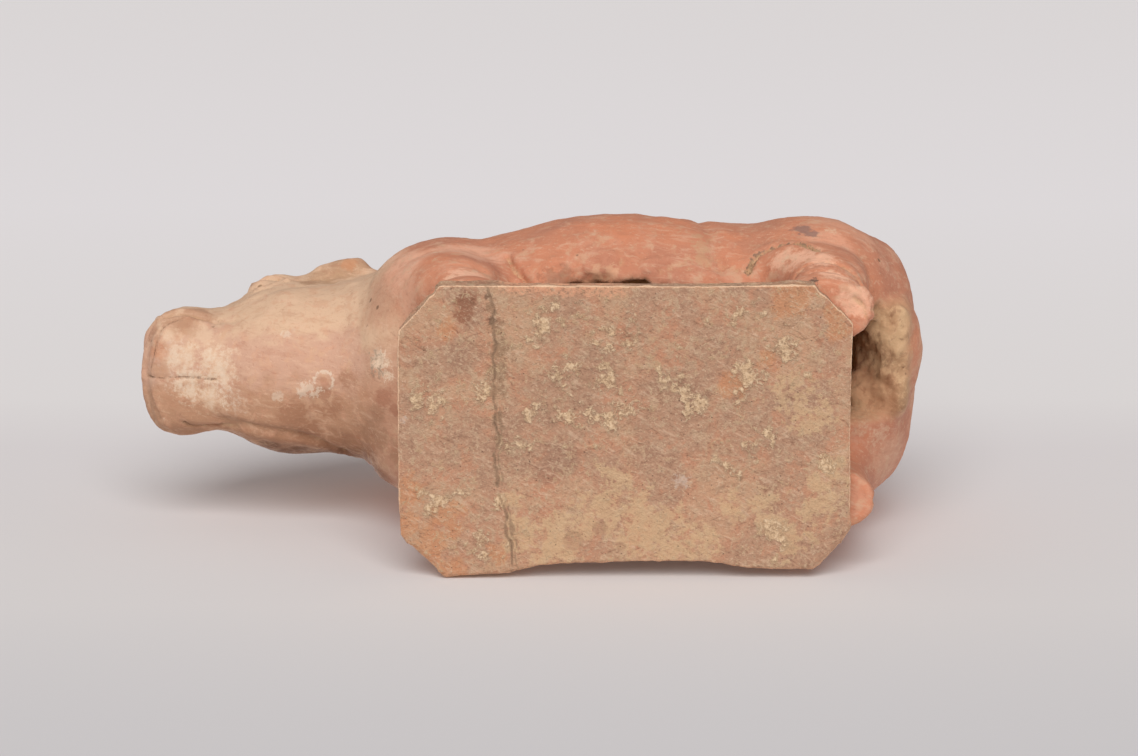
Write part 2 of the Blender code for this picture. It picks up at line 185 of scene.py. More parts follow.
def rounded_run(places, steps=5):
    """A smooth run through the given places."""
    places = [np.array(p, float) for p in places]
    run = []
    for i in range(len(places) - 1):
        before, here, there, after = (
            places[max(i - 1, 0)], places[i], places[i + 1], places[min(i + 2, len(places) - 1)],
        )
        for k in range(steps):
            t = k / steps
            run.append(0.5 * (
                2 * here + (there - before) * t
                + (2 * before - 5 * here + 4 * there - after) * t * t
                + (3 * here - before - 3 * there + after) * t ** 3
            ))
    run.append(places[-1])
    return run


def shifted(places, by_x, by_y, by_z):
    """The same run of places, moved."""
    return [(x + by_x, y + by_y, z + by_z) for x, y, z in places]


def both_sides(middle, places):
    """The places, given as distances from a middle in X, on the left side and on the right."""
    for side in (1, -1):
        yield [(middle + side * x, y, z) for x, y, z in places]


class Surface:
    """A piece's mesh as arrays in millimetres. Carving gathers in rise and is then pressed into shape."""

    def __init__(self, piece):
        self.mesh = piece.data
        count = len(self.mesh.vertices)
        flat = np.empty(count * 3, np.float32)
        self.mesh.vertices.foreach_get("co", flat)
        self.points = flat.reshape(-1, 3).astype(float) / MM
        edges = np.empty(len(self.mesh.edges) * 2, np.int32)
        self.mesh.edges.foreach_get("vertices", edges)
        self.edges = edges.reshape(-1, 2)
        self.rise = np.zeros(count)
        self.soil = np.zeros(count)
        self.dark = np.zeros(count)
        self.refresh()

    def refresh(self):
        """Takes the normals anew after the points have moved."""
        flat = np.empty(len(self.points) * 3, np.float32)
        self.mesh.vertex_normals.foreach_get("vector", flat)
        self.normals = flat.reshape(-1, 3).astype(float)
        self.tree = None

    def write(self):
        """Puts the moved points back into the mesh."""
        self.mesh.vertices.foreach_set("co", (self.points * MM).astype(np.float32).ravel())
        self.mesh.update()
        self.refresh()

    def press(self):
        """Moves each point along its normal by what has been carved there."""
        self.points += self.normals * self.rise[:, None]
        self.rise = np.zeros(len(self.points))
        self.write()

    def nearest(self, place):
        """The point of the surface nearest to a place."""
        if self.tree is None:
            polygons = [tuple(p.vertices) for p in self.mesh.polygons]
            self.tree = BVHTree.FromPolygons(self.points.tolist(), polygons)
        return np.array(self.tree.find_nearest(Vector(place))[0])

    def along(self, places, width, steps=5):
        """How near each point lies to a run drawn on the surface: 1 on it, fading over the width."""
        run = [self.nearest(p) for p in rounded_run(places, steps)]
        reach = 3 * width
        low, high = np.min(run, 0) - reach, np.max(run, 0) + reach
        near = np.nonzero(((self.points > low) & (self.points < high)).all(1))[0]
        share = np.zeros(len(self.points))
        share[near] = np.exp(-((run_distance(self.points[near], run) / width) ** 2))
        return share

    def stroke(self, places, width, height, steps=5, soil=0.0, dark=0.0):
        """A modelling stroke along the places: a ridge, or below 0 a groove that can hold soil and carry
        painted shade.
        """
        share = self.along(places, width, steps)
        self.rise += height * share
        self.soil = np.maximum(self.soil, soil * share)
        self.dark = np.maximum(self.dark, dark * share)

    def stroke_pair(self, middle, places, width, height, soil=0.0):
        """The same stroke on the left side and on the right, its places given from a middle in X."""
        for half in both_sides(middle, places):
            self.stroke(half, width, height, soil=soil)

    def dab(self, place, radius, height):
        """A rounded lump, or below 0 a dent, at a place."""
        gap = np.linalg.norm(self.points - self.nearest(place), axis=1)
        self.rise += height * np.exp(-((gap / radius) ** 2))

    def lumpy(self, share, size, height, octaves=3, seed=0):
        """Uneven lumps of that size wherever share is above 0."""
        near = np.nonzero(share > 0.01)[0]
        self.rise[near] += height * share[near] * cloud(self.points[near], size, octaves, seed)

    def averaged(self, values, rounds):
        """Values averaged with their neighbours, some rounds over."""
        count = len(self.points)
        first, second = self.edges[:, 0], self.edges[:, 1]
        share = np.bincount(first, minlength=count) + np.bincount(second, minlength=count)
        for _ in range(rounds):
            total = np.bincount(first, values[second], count) + np.bincount(second, values[first], count)
            values = (values + total / share) / 2
        return values

    def relax(self, share, rounds):
        """Smooths the shape where share is above 0."""
        used, ends = np.unique(self.edges[(share[self.edges] > 0).any(1)], return_inverse=True)
        first, second = ends.reshape(-1, 2).T
        count = len(used)
        neighbours = np.bincount(first, minlength=count) + np.bincount(second, minlength=count)
        for k in range(3):
            column = self.points[used, k]
            for _ in range(rounds):
                total = np.bincount(first, column[second], count) + np.bincount(second, column[first], count)
                column += share[used] * (total / neighbours - column) / 2
            self.points[used, k] = column
        self.write()

    def hollowness(self, rounds):
        """How far each point lies below the average of its neighbourhood."""
        mean = np.stack([self.averaged(self.points[:, k], rounds) for k in range(3)], 1)
        return ((mean - self.points) * self.normals).sum(1)

    def keep_inside(self, low, high):
        """Holds the surface inside a box, given in metres."""
        self.points = np.clip(self.points, np.array(low) / MM, np.array(high) / MM)
        self.write()

    def store(self, name, values):
        """Keeps one number for each point as a named attribute."""
        layer = self.mesh.attributes.new(name, "FLOAT", "POINT")
        layer.data.foreach_set("value", np.asarray(values, np.float32))


# ---------------------------------------------------------------- the ox's shape


def inside_share(skin):
    """1 on the walls of the hollow body and 0 outside it."""
    x, y, z = skin.points.T
    inwards = (x - MIDLINE) * skin.normals[:, 0] + (z - HOLLOW_Z) * skin.normals[:, 2] < 0
    within = (abs(x - MIDLINE) < 39) & (y > -60) & (y < 82) & (z > 40) & (z < 102)
    return (inwards & within).astype(float)


def blend_chest(skin):
    """Runs the neck, the chest and the shoulders into each other."""
    x, y, z = skin.points.T
    share = ramped(y, -106, -88) * ramped(-y, 52, 64) * ramped(-z, -92, -78) * ramped(z, 28, 40)
    skin.relax(share, 130)
    haunch = ramped(y, 14, 26) * ramped(-y, -84, -70) * ramped(z, 48, 58) * ramped(-z, -100, -90)
    outer = ramped(abs(x - MIDLINE), 30, 36)
    skin.relax(haunch * outer, 60)

    x, y, z = skin.points.T
    valley = ramped(y, -88, -76) * ramped(-y, 44, 54) * ramped(z, 24, 34) * ramped(-z, -84, -72)
    skin.rise += 0.9 * valley * np.maximum(skin.hollowness(110), 0)
    skin.press()
    skin.relax(valley, 40)


def carve_mouth(skin):
    """The parted lips, with their soft edges, and the creases of the chin and of the right corner."""
    corner, front = (17.6, -122.5), MUZZLE_Y + 1.5
    lips = [
        (corner[0] + 0.6, corner[1] + 3.5, MOUTH_Z - 2.2), (*corner, MOUTH_Z - 0.4),
        (19, -129, MOUTH_Z), (17, -136, MOUTH_Z), (9, front, MOUTH_Z), (0, front, MOUTH_Z),
    ]
    for half in both_sides(HEAD_MIDLINE + 0.8, lips):
        skin.stroke(half[3:], 0.7, -1.2, soil=0.7)
        skin.stroke(half[:4], 0.7, -0.8, soil=0.25)
        skin.stroke(shifted(half[1:], 0, 0, 3.2), 1.5, 0.4)
        skin.stroke(shifted(half[1:], 0, 0, -2.6), 1.4, 0.8)
        skin.stroke(shifted(half[:2], 0, 4, 0), 1.4, -0.45)
    skin.stroke([(HEAD_MIDLINE, front, 75), (HEAD_MIDLINE, front, MOUTH_Z + 1)], 0.7, -0.5, soil=0.3)
    below = [
        (16.4, -129.5, 64.5), (16.6, -133.8, 61.5), (13, -136, 59.6), (8.5, -137.3, 58.6), (3, -138.4, 60),
    ]
    # Painted shade: the creases under the chin are darkened.
    for half, depth, dark in zip(both_sides(HEAD_MIDLINE, below), (-0.45, -0.25), (0.8, 0.4)):
        skin.stroke(half, 0.5, depth, dark=dark)
        skin.stroke(shifted(half, 0, 1.6, 0), 1.0, 0.3)
    crease = [
        (-8.5, -129.4, 62.5), (-10.4, -127.6, 62), (-13.2, -123, 60), (-14, -118.5, 58.6), (-13, -114, 57),
    ]
    # Painted shade: the crease at the right corner of the mouth is darkened.
    skin.stroke(crease[:4], 0.6, -1.0, dark=1.0)
    skin.stroke(crease[2:], 1.0, -0.5, soil=0.4)
    skin.stroke(shifted(crease, 2, 0, -1.4), 1.3, 0.4)


def carve_nostrils(skin):
    """Slanting nostrils under a raised rim, and the crease behind each."""
    rim = [
        (14.5, -137.5, 75), (14.8, -138, 80), (11.5, -139, 83.5), (7.6, -140, 81.5), (6.8, -141, 76.5),
    ]
    crease = [(15, -130, 86), (18, -132.5, 82), (18.5, -135, 76), (17, -137, 71.5)]
    skin.stroke_pair(HEAD_MIDLINE + 0.4, rim, 1.2, 0.7)
    skin.stroke_pair(HEAD_MIDLINE, crease, 1.6, -0.8)


def carve_eyes(skin):
    """Almond eyes between heavy lids, under the brow."""
    upper = [(21, -114, 86.6), (24, -112, 91.4), (26, -108, 93.4), (27, -103.5, 91.4), (26.5, -100.5, 88)]
    lower = [(21, -114, 86.6), (23.5, -110.5, 84.4), (25.5, -106, 84), (26.5, -100.5, 88)]
    for places in both_sides(HEAD_MIDLINE, upper):
        skin.stroke(places[1:], 0.85, 0.9)
        skin.stroke(places[:2], 0.8, 0.3)
        skin.stroke(shifted(places[1:], -0.5, 0, 2.6), 0.9, -0.6, soil=0.4)
        skin.stroke(shifted(places[1:4], 0, 0, -1.5), 0.5, -0.55, soil=0.5)
    for places in both_sides(HEAD_MIDLINE, lower):
        skin.stroke(places[1:], 0.85, 0.6)
        skin.stroke(shifted(places[1:3], 0, 0, 1.3), 0.5, -0.45, soil=0.5)
        skin.stroke(shifted(places[1:3], 0, 0, -2.4), 1.2, -0.5)
    skin.stroke_pair(HEAD_MIDLINE, [(25.2, -108.4, 88.9), (25.6, -106.4, 88.9)], 2.2, 0.6)
    skin.stroke_pair(HEAD_MIDLINE, [(20, -115, 86), (17.5, -119, 83)], 0.9, -0.4)


def carve_brow(skin):
    """The bony bridge of the face, the poll's short curls and the cheek's edge."""
    bridge = [(11, -104, 107), (8.5, -114, 99), (8, -124, 92), (10, -133, 88)]
    skin.stroke_pair(HEAD_MIDLINE, bridge, 2.4, 0.8)
    skin.stroke([(HEAD_MIDLINE, -106, 107), (HEAD_MIDLINE, -118, 97), (HEAD_MIDLINE, -130, 90)], 3, -0.6)
    for k in range(7):
        across = 2.6 * (k - 3)
        top = (HEAD_MIDLINE + across * 0.7, -89, 117)
        bottom = (HEAD_MIDLINE + across * 1.3, -101 + 0.3 * abs(across), 110)
        middle = (HEAD_MIDLINE + across * 1.2 + 0.8, -95, 114)
        skin.stroke([top, middle, bottom], 0.6, -0.65, soil=0.4)
    skin.stroke_pair(HEAD_MIDLINE, [(25, -95, 82), (23.5, -104, 76), (19, -114, 70)], 2.2, -0.35)


def carve_jaw(skin):
    """The edge between the throat and the right cheek, which hangs lower."""
    edge = [
        (-11.5, -118, 56), (-12.5, -111, 53.5), (-13, -104, 53.5), (-14, -96, 55), (-17, -88, 59),
        (-20, -83, 63),
    ]
    skin.stroke(edge, 1.7, -1.2)
    skin.stroke(shifted(edge, 2.8, 0, -1.5), 2.4, 0.5)
    skin.stroke(shifted(edge[1:], -3.4, 0, 2), 2.6, 0.7)


def carve_ears(skin):
    """The hollow of each ear, open outwards, and the crease behind it."""
    left = [(19, -97.5, 99), (24, -92, 100), (28.5, -85, 100), (30.5, -80, 99)]
    for side, places in zip((1.0, 0.86), both_sides(HEAD_MIDLINE, left)):
        shut = [(HEAD_MIDLINE + (x - HEAD_MIDLINE) * side, y, z) for x, y, z in places]
        skin.stroke(shut, 1.4, -1.4, soil=0.5)
        skin.stroke(shifted(shut[:3], 0, 0, -9), 1.3, -0.5)


def carve_horns(skin):
    """Growth rings round the foot of each horn, and the crease where it leaves the poll."""
    for level, reach, depth in ((112, 13.5, -0.45), (114.5, 16, -0.35), (117, 17.5, -0.25)):
        for side in (1, -1):
            ring = [
                (HEAD_MIDLINE + side * reach + 7 * math.cos(turn), -86.5 + 7 * math.sin(turn), level)
                for turn in (k * math.pi / 4 for k in range(9))
            ]
            skin.stroke(ring, 0.6, depth, 2)


def carve_hooves(skin):
    """The coronet, the cleft and the two dew claws of each foot."""
    for side in (1, -1):
        for along, reach in ((FORELEG_Y, 12.5), (HINDLEG_Y + (1.6 if side < 0 else 0), 14)):
            middle = MIDLINE + side * (LEG_OFFSET - (1 if along < 0 else 0))
            ring = [
                (
                    middle + 11 * math.cos(turn), along + (reach + 1) * math.sin(turn),
                    16 - 1.5 * math.sin(turn),
                )
                for turn in (k * math.pi / 6 for k in range(13))
            ]
            skin.stroke(ring, 0.7, -0.5, 2, soil=0.3)
            skin.stroke(shifted(ring, 0, 0, -2), 1.2, 0.3, 2)
            front = along - reach
            cleft = [(middle, front, 15), (middle, front - 1, 11), (middle, front, 7.5)]
            skin.stroke(cleft, 0.8, -1.2, soil=0.8)
            for claw in (-3, 3):
                skin.dab((middle + claw, along + reach, 20.5), 1.9, 1.1)
            skin.stroke([(middle, along + reach, 18), (middle, along + reach + 1, 8)], 0.9, -0.6, soil=0.4)


def carve_luted_hoof(skin):
    """The left hind hoof, smeared on as a lobe of soft clay past the plinth's cut corner."""
    skin.stroke([(36.5, 64.5, 9.5), (33.5, 67.5, 10), (29.5, 67.8, 9.5)], 1.0, 0.9)
    skin.stroke([(35, 62.5, 9.5), (32.5, 65.3, 9), (29, 66, 8.5)], 0.6, -0.8, soil=0.3)
    join = [(39, 46, 22), (42, 52, 24), (41, 58, 24), (37, 63.5, 22), (32, 66.5, 19)]
    skin.stroke(join, 0.6, -0.9, soil=0.3)
    for k in range(4):
        down = 2.6 * k
        smear = [
            (40 - 0.4 * k, 50 + k, 19 - down), (41 - 0.6 * k, 56 + k, 20 - down),
            (37 - 0.5 * k, 63, 18 - down),
        ]
        skin.stroke(smear, 0.5, -0.4 if k % 2 else 0.3)


def carve_legs(skin):
    """The lines where the legs leave the body and the hollows round the joints."""
    stifle = [(x - MIDLINE, y, z) for x, y, z in STIFLE_LINE]
    for places, depth in zip(both_sides(MIDLINE, stifle), (-1.9, -1.1)):
        # Soil and painted shade in the crevice where the hind leg leaves the belly.
        skin.stroke(places, 0.7, depth, soil=1.0, dark=0.9)
        skin.stroke(shifted(places, 0, 0, 3), 1.8, 0.5)
        skin.stroke(shifted(places, 0, 0, -3), 2.0, 0.5)
    pinch = [(36, -33.5, 50), (34, -31.5, 44), (31.5, -29, 40.5), (28, -27, 38.5)]
    for places, depth in zip(both_sides(MIDLINE, pinch), (-1.7, -1.1)):
        skin.stroke(places, 0.9, depth, soil=0.25)
        # Painted shade only, with no groove, at the foot of the pinch.
        skin.stroke(places[2:], 0.9, 0, dark=0.7)
        skin.stroke(shifted(places, 0, 2.6, 0), 1.3, 0.7)
    skin.dab((36, -7, 42), 3, 1.6)
    skin.dab((36, -2.5, 43), 2.4, 1.3)
    skin.dab((36.5, 6, 43), 3, 0.8)
    skin.stroke_pair(MIDLINE, [(36, -38, 66), (38, -40, 54), (37, -41, 42), (34, -40, 30)], 2.6, -0.45)
    skin.stroke_pair(MIDLINE, [(29, -36, 34), (34, -38, 31), (36, -46, 30)], 2.0, -0.35)
    skin.stroke_pair(MIDLINE, [(37, 62, 32), (38, 66, 27), (33, 70, 24)], 2.0, -0.4)


def carve_folds(skin):
    """Shallow folds of the neck, the flank and the haunch, faint ribs and the ridge of the back."""
    for start, depth in ((0, -0.4), (6, -0.5), (12, -0.45)):
        fold = [(24, -92 + start, 97), (28, -86 + start, 84), (25.5, -83 + start, 68), (17, -81 + start, 54)]
        left, right = both_sides(HEAD_MIDLINE, fold)
        skin.stroke(left, 1.5, depth * 0.5)
        skin.stroke(right, 1.5, depth)
    flank = [(40, 22, 82), (40.5, 24.5, 66), (38.5, 26, 52), (34, 28, 42)]
    skin.stroke_pair(MIDLINE, flank, 2.2, -0.9, soil=0.12)
    hip = [(38, 30, 90), (33, 38, 99), (25, 48, 107)]
    skin.stroke_pair(MIDLINE, hip, 3.0, -0.5)
    for k in range(4):
        rib = [(40 - k, -12 + 9 * k, 92), (43.5 - k * 0.3, -14 + 9 * k, 76), (42, -17 + 9 * k, 60)]
        skin.stroke_pair(MIDLINE, rib, 1.8, 0.18)
    spine = [(MIDLINE, y, 125) for y in range(-70, 80, 15)]
    skin.stroke(spine, 1.0, 0.3)


def carve_tail(skin):
    """The tail's two edges and the parted hair of its tuft."""
    for across in (-6.4, 6.4):
        widths = ((104, 0.7), (92, 0.95), (78, 1.0), (66, 0.9))
        edge = [(MIDLINE + across * share, RUMP_Y + 1, z) for z, share in widths]
        skin.stroke(edge, 1.0, -0.8, soil=0.5)
    for k in range(5):
        across = 2.2 * (k - 2)
        foot = MIDLINE + across
        hair = [(MIDLINE + across * 0.7, RUMP_Y, 84), (foot, RUMP_Y, 74), (foot, 84, 63)]
        skin.stroke(hair, 0.5, -0.5, soil=0.3)


def carve_seam(skin):
    """The mould's seam along the underside of the jaw, partly opened, and a ring of lime crust."""
    opened = [(MIDLINE - 1.8, MUZZLE_Y + 2, 62), (MIDLINE - 1.3, -130, 56), (MIDLINE - 1.6, -119, 55)]
    # The opened part of the seam is darkened as painted shade.
    skin.stroke(opened, 0.4, -0.5, dark=1.15)
    skin.stroke([opened[-1], (MIDLINE - 1.2, -100, 50), (MIDLINE - 0.8, -84, 48)], 0.6, -0.18)
    centre = (3.3, -86.8)
    ring = [
        (centre[0] + (2.2 + 0.4 * math.sin(2 * turn)) * math.sin(turn), centre[1] + 2.8 * math.cos(turn), 50)
        for turn in (k * math.pi / 5 for k in range(3, 12))
    ]
    skin.stroke(ring, 0.6, 0.25, 2)
    for place, radius in (((1.2, -91.8, 50), 1.6), ((-0.6, -90.2, 50), 1.0), ((0, -93.5, 50.5), 1.0)):
        skin.dab(place, radius, 0.4)
    for place in ((18.4, -119, 66.8), (17.3, -120.3, 63.2), (25.1, -108.8, 86.8), (28, -118, 90)):
        skin.dab(place, 0.6, -0.5)


def plug_pocket(ox):
    """Two rounded lumps of clay set into the slot between the thighs, before the skin runs over all."""
    bm = bmesh.new()
    bm.from_mesh(ox.data)
    for middle, reach in (((11, 78.5, 61), (18, 9.5, 15)), ((-1, 74.5, 57.5), (8, 10, 12))):
        lump = bmesh.ops.create_icosphere(bm, subdivisions=4, radius=MM)["verts"]
        bmesh.ops.scale(bm, vec=reach, verts=lump)
        bmesh.ops.translate(bm, vec=Vector(middle) * MM, verts=lump)
    bm.to_mesh(ox.data)
    bm.free()


def fill_pocket(skin):
    """Torn clay and soil that close the back of the slot between the thighs."""
    x, y, z = skin.points.T
    across = ramped(x, -9, -2) * ramped(-x, -29, -24)
    along = ramped(y, 62, 66) * ramped(-y, -85, -80)
    share = across * along * ramped(z, 34, 40) * ramped(-z, -74, -64)
    skin.relax(share, 40)
    x, y, z = skin.points.T
    facing_down = ramped(-skin.normals[:, 2], -0.1, 0.4)
    ragged = 2.0 * cloud(skin.points, 5, 3, 24)
    ceiling = 44 + 16 * ramped(-y - ragged, -74, -67) + 0.12 * abs(x - 12) + 0.3 * ragged
    skin.points[:, 2] -= across * along * facing_down * ramped(-z, -70, -64) * np.maximum(z - ceiling, 0)
    skin.write()
    skin.relax(share, 20)
    torn = share * ramped(-skin.normals[:, 2], -0.5, 0.2)
    skin.lumpy(torn, 9, 1.5, 2, seed=4)
    skin.lumpy(torn, 3.2, 0.75, 4, seed=14)
    skin.press()
    return torn


def roughen(skin):
    """Hand-finished unevenness outside, and torn, crusted clay in the hollow and on the belly's rim."""
    x, y, z = skin.points.T
    everywhere = np.ones(len(x))
    skin.lumpy(everywhere, 17, 0.35, 2, seed=3)
    skin.lumpy(everywhere, 4, 0.16, 3, seed=8)
    rim = ramped(-z, -48, -43) * ramped(z, 33, 37) * ramped(y, -36, -30) * ramped(-y, -38, -33)
    skin.lumpy(rim * ramped(-abs(x - MIDLINE), -41, -36), 5, 1.1, 3, seed=6)
    skin.lumpy(inside_share(skin), 8, 0.9, 2, seed=9)
    brisket = np.linalg.norm((skin.points - (10.7, -70.3, 40.7)) / 6, axis=1)
    skin.lumpy(ramped(-brisket, -1, -0.4), 1.8, 0.45, 3, seed=2)


def make_ox():
    """The ox: its solid skinned anew, then modelled, carved, filled and roughened."""
    ox = merged_copy("ox", "tomb_ox")
    plug_pocket(ox)
    reskin(ox, SKIN_VOXEL, 8)

    skin = Surface(ox)
    blend_chest(skin)
    for carve in (carve_mouth, carve_nostrils, carve_eyes, carve_brow, carve_jaw, carve_ears, carve_horns):
        carve(skin)
    skin.press()
    for carve in (carve_hooves, carve_luted_hoof, carve_legs, carve_folds, carve_tail, carve_seam):
        carve(skin)
    skin.press()
    torn = fill_pocket(skin)
    roughen(skin)
    skin.press()
    skin.keep_inside(OX_LOW, OX_HIGH)

    inside = inside_share(skin)
    skin.store("inside", skin.averaged(inside, 10))
    skin.store("torn", skin.averaged(torn, 4))
    skin.store("soil", skin.averaged(skin.soil, 2))
    # The dark share is painted shade along creases, pinches and the opened seam.
    skin.store("dark", skin.averaged(skin.dark, 1))
    skin.store("recess", ramped(skin.averaged(skin.hollowness(8), 2), 0.02, 0.28))
    skin.store("pocket", ramped(skin.averaged(skin.hollowness(60), 3), 0.25, 1.3))
    skin.store("worn", ramped(skin.averaged(-skin.hollowness(12), 2), 0.05, 0.3))
    thin(ox, inside, TRIANGLES)
    ox.data.shade_smooth()
    return ox


# ---------------------------------------------------------------- the plinth's shape

# Where soil has dried on the underside: X, Y and the radius of each patch
SOIL_PATCHES = (
    (29, -24, 3.6), (27, -4, 2), (26, 2, 3), (21, -5, 2.4), (15, -18, 3.8), (12, -6, 3.4), (8, -2, 3),
    (7, 1, 3), (2, -18, 3), (2, -11, 3.4), (0, -5, 3), (-4, -29, 3.6), (4, -24, 2), (10, -38, 2),
    (8, -56, 4.6), (2, -50, 2), (-21, -52, 4), (-17, -47, 2), (-28, -41, 2), (-35, -41, 2.5), (-21, -36, 2),
    (-29, -30, 1.6), (24, 3, 2.5), (32, 31, 1.6), (34, 36, 1.8), (31, 30, 1.4), (30, 44, 1.6), (23, 44, 3.6),
    (14, 13, 2.6), (6, 18, 3.8), (10, 16, 2), (14, 34, 3.6), (10, 31, 2), (15, 39, 2), (15, 48, 2),
    (4, 2, 4), (-4, 32, 2), (0, 38, 2.4), (-10, 26, 2.4), (-14, 31, 2.4), (36, -14, 2), (34, -22, 2),
    (-31, 42, 4), (-10, 56, 3),
)
# Where soil lies as a broad smear: along the right edge, and thinner over the middle of the rear half
SOIL_SMEARS = (
    (-29, -28, 5), (-30, -19, 8), (-25, -8, 7), (-17, -3, 5), (-21, 4, 5), (-29, 7, 8), (-33, 20, 6),
    (-27, 16, 5), (-21, 30, 4), (-24, 41, 5), (-20, 55, 6), (-12, 58, 4), (-31, 46, 5), (-20, -33, 3),
    (8, 46, 7), (2, 54, 5),
)
# Rings left by drips on the underside, and the repaired break across it from left to right
DRIP_RINGS = ((-32, -14.3, 3.2), (-28.4, -7, 2.3), (-33.5, -1, 1.5))
CRACK = (
    (41, -38, 0), (34, -36.9, 0), (28.5, -36, 0), (17, -35.8, 0), (6, -35.6, 0), (-4, -35.2, 0),
    (-11, -35.9, 0), (-17, -35, 0), (-26, -32.7, 0), (-33.5, -31.7, 0), (-42, -31.2, 0),
)
# Crumbs of soil under the slab: a run of places, its width, its height and how much soil it holds
CRUMBS = (
    ([(34.5, 1.5, 0), (31, 2.6, 0), (27, 3.6, 0)], 0.5, 0.3, 1.0),
    ([(26.5, -4, 0), (26.2, 2, 0), (27, 7, 0)], 0.4, 0.3, 1.0),
    ([(17, 11, 0), (13, 13, 0)], 0.7, 0.5, 0.7),
    ([(12, -18, 0), (8, -14, 0), (5, -8, 0), (3, -3, 0)], 0.6, 0.15, 0.8),
    ([(20, -10, 0), (16, -8, 0), (13, -2, 0)], 0.5, 0.15, 0.7),
    ([(-10, 24, 0), (-14, 28, 0), (-17, 33, 0)], 0.6, 0.35, 0.5),
    ([(-17, 24, 0), (-15, 30, 0), (-17, 37, 0)], 0.6, 0.3, 0.0),
)
# Single lumps there, and one chip: X, Y, radius and height
SLAB_LUMPS = ((-25, 27, 2.4, 0.5), (-15, -55.5, 1.2, 0.45), (-29, -29.5, 1.3, 0.4), (33.5, -43.5, 3.0, -0.35))


def nearness(x, y, patches, reach):
    """1 in the middle of the nearest patch, falling to 0 at so many times its radius."""
    near = np.zeros(len(x))
    for px, py, radius in patches:
        near = np.maximum(near, 1 - np.hypot(x - px, y - py) / (radius * reach))
    return near


def wear_slab(skin, under, side):
    """Hollows the slab's worn right edge, rounds its corners and makes its faces uneven."""
    x, y, z = skin.points.T
    worn_away = ramped(y, -36, -20) * ramped(-y, -36, -20) * ramped(-x, 32, 42)
    skin.points[:, 0] += 2.0 * worn_away
    skin.write()
    cut = np.hypot(np.maximum(abs(x) - 34, 0), np.maximum(abs(y) - 54, 0))
    skin.relax(ramped(cut, 2, 4) * (abs(x) > 33) * (abs(y) > 52), 90)
    skin.rise -= 0.35 + 0.35 * side
    skin.lumpy(np.ones(len(x)), 20, 0.2, 2, seed=1)
    skin.lumpy(side, 11, 0.4, 2, seed=12)
    skin.lumpy(ramped(-z, -6, -5) * (1 - under), 6, 0.4, 3, seed=7)
    skin.press()


def lay_soil(skin, under):
    """Builds up the soil dried on the underside, and gives the shares of thick and of thin soil."""
    bent = skin.points + 2.6 * drift(skin.points, 8, 41) + 1.3 * drift(skin.points, 3, 44)
    torn = 0.6 * cloud(skin.points, 3.4, 3, 11) + 0.8 * cloud(skin.points, 1.3, 2, 12)
    patches = nearness(bent[:, 0], bent[:, 1], SOIL_PATCHES, 1.9)
    smears = nearness(bent[:, 0], bent[:, 1], SOIL_SMEARS, 1.5)
    thick = under * ramped(patches + 0.45 * torn, 0.1, 1.0)
    thin_soil = under * ramped(1.1 * smears.clip(0, 0.6) + 0.45 * patches + 0.5 * torn, 0.08, 0.8)
    skin.rise += 0.12 * thick + 0.05 * thin_soil
    skin.lumpy(thick, 1.2, 0.12, 2, seed=35)
    return thick, thin_soil


def open_crack(skin):
    """The repaired break across the slab and a finer crack beside it; gives their shares."""
    faded = 0.6 + 0.4 * ramped(cloud(skin.points, 6, 2, 31), -0.4, 0.2)
    warped = skin.points + 0.8 * drift(skin.points, 2.5, 21)
    straight, skin.points = skin.points, warped
    crack = faded * skin.along(CRACK, 0.6)
    side_crack = faded * skin.along(shifted(CRACK[4:], 0, 1.2, 0), 0.45)
    skin.points = straight
    wider = ramped(skin.points[:, 0], -8, 6) * ramped(-skin.points[:, 0], -34, -24)
    skin.rise -= 0.3 * crack ** 2 + 0.15 * side_crack ** 2
    skin.rise -= 0.25 * skin.along(shifted(CRACK[1:5], 0, 2.2, 0), 1.6) * wider
    return crack, side_crack


def lay_crumbs(skin, under):
    """Runs of crumbled soil, single lumps and the drip rings."""
    for places, width, height, soil in CRUMBS:
        skin.stroke(places, width, height, soil=soil)
    for lump_x, lump_y, radius, height in SLAB_LUMPS:
        skin.dab((lump_x, lump_y, 0), radius, height)
    x, y = skin.points.T[:2]
    for ring_x, ring_y, radius in DRIP_RINGS:
        gap = np.hypot(x - ring_x, y - ring_y) / radius
        skin.rise += under * (0.12 * np.exp(-(((gap - 1) / 0.16) ** 2)) - 0.1 * ramped(-gap, -1, -0.8))


def press_luting(skin):
    """The clay squeezed out round the hooves on the slab's upper side."""
    x, y, z = skin.points.T
    for side in (1, -1):
        for reach, along in ((LEG_OFFSET - 1, FORELEG_Y), (LEG_OFFSET, HINDLEG_Y)):
            gap = np.hypot((x - (MIDLINE + side * reach)) / 11.5, (y - along) / 15.5)
            squeezed = np.exp(-(((gap - 0.9) / 0.16) ** 2))
            skin.rise += 0.9 * ramped(z, SLAB_TOP - 1, SLAB_TOP - 0.4) * squeezed


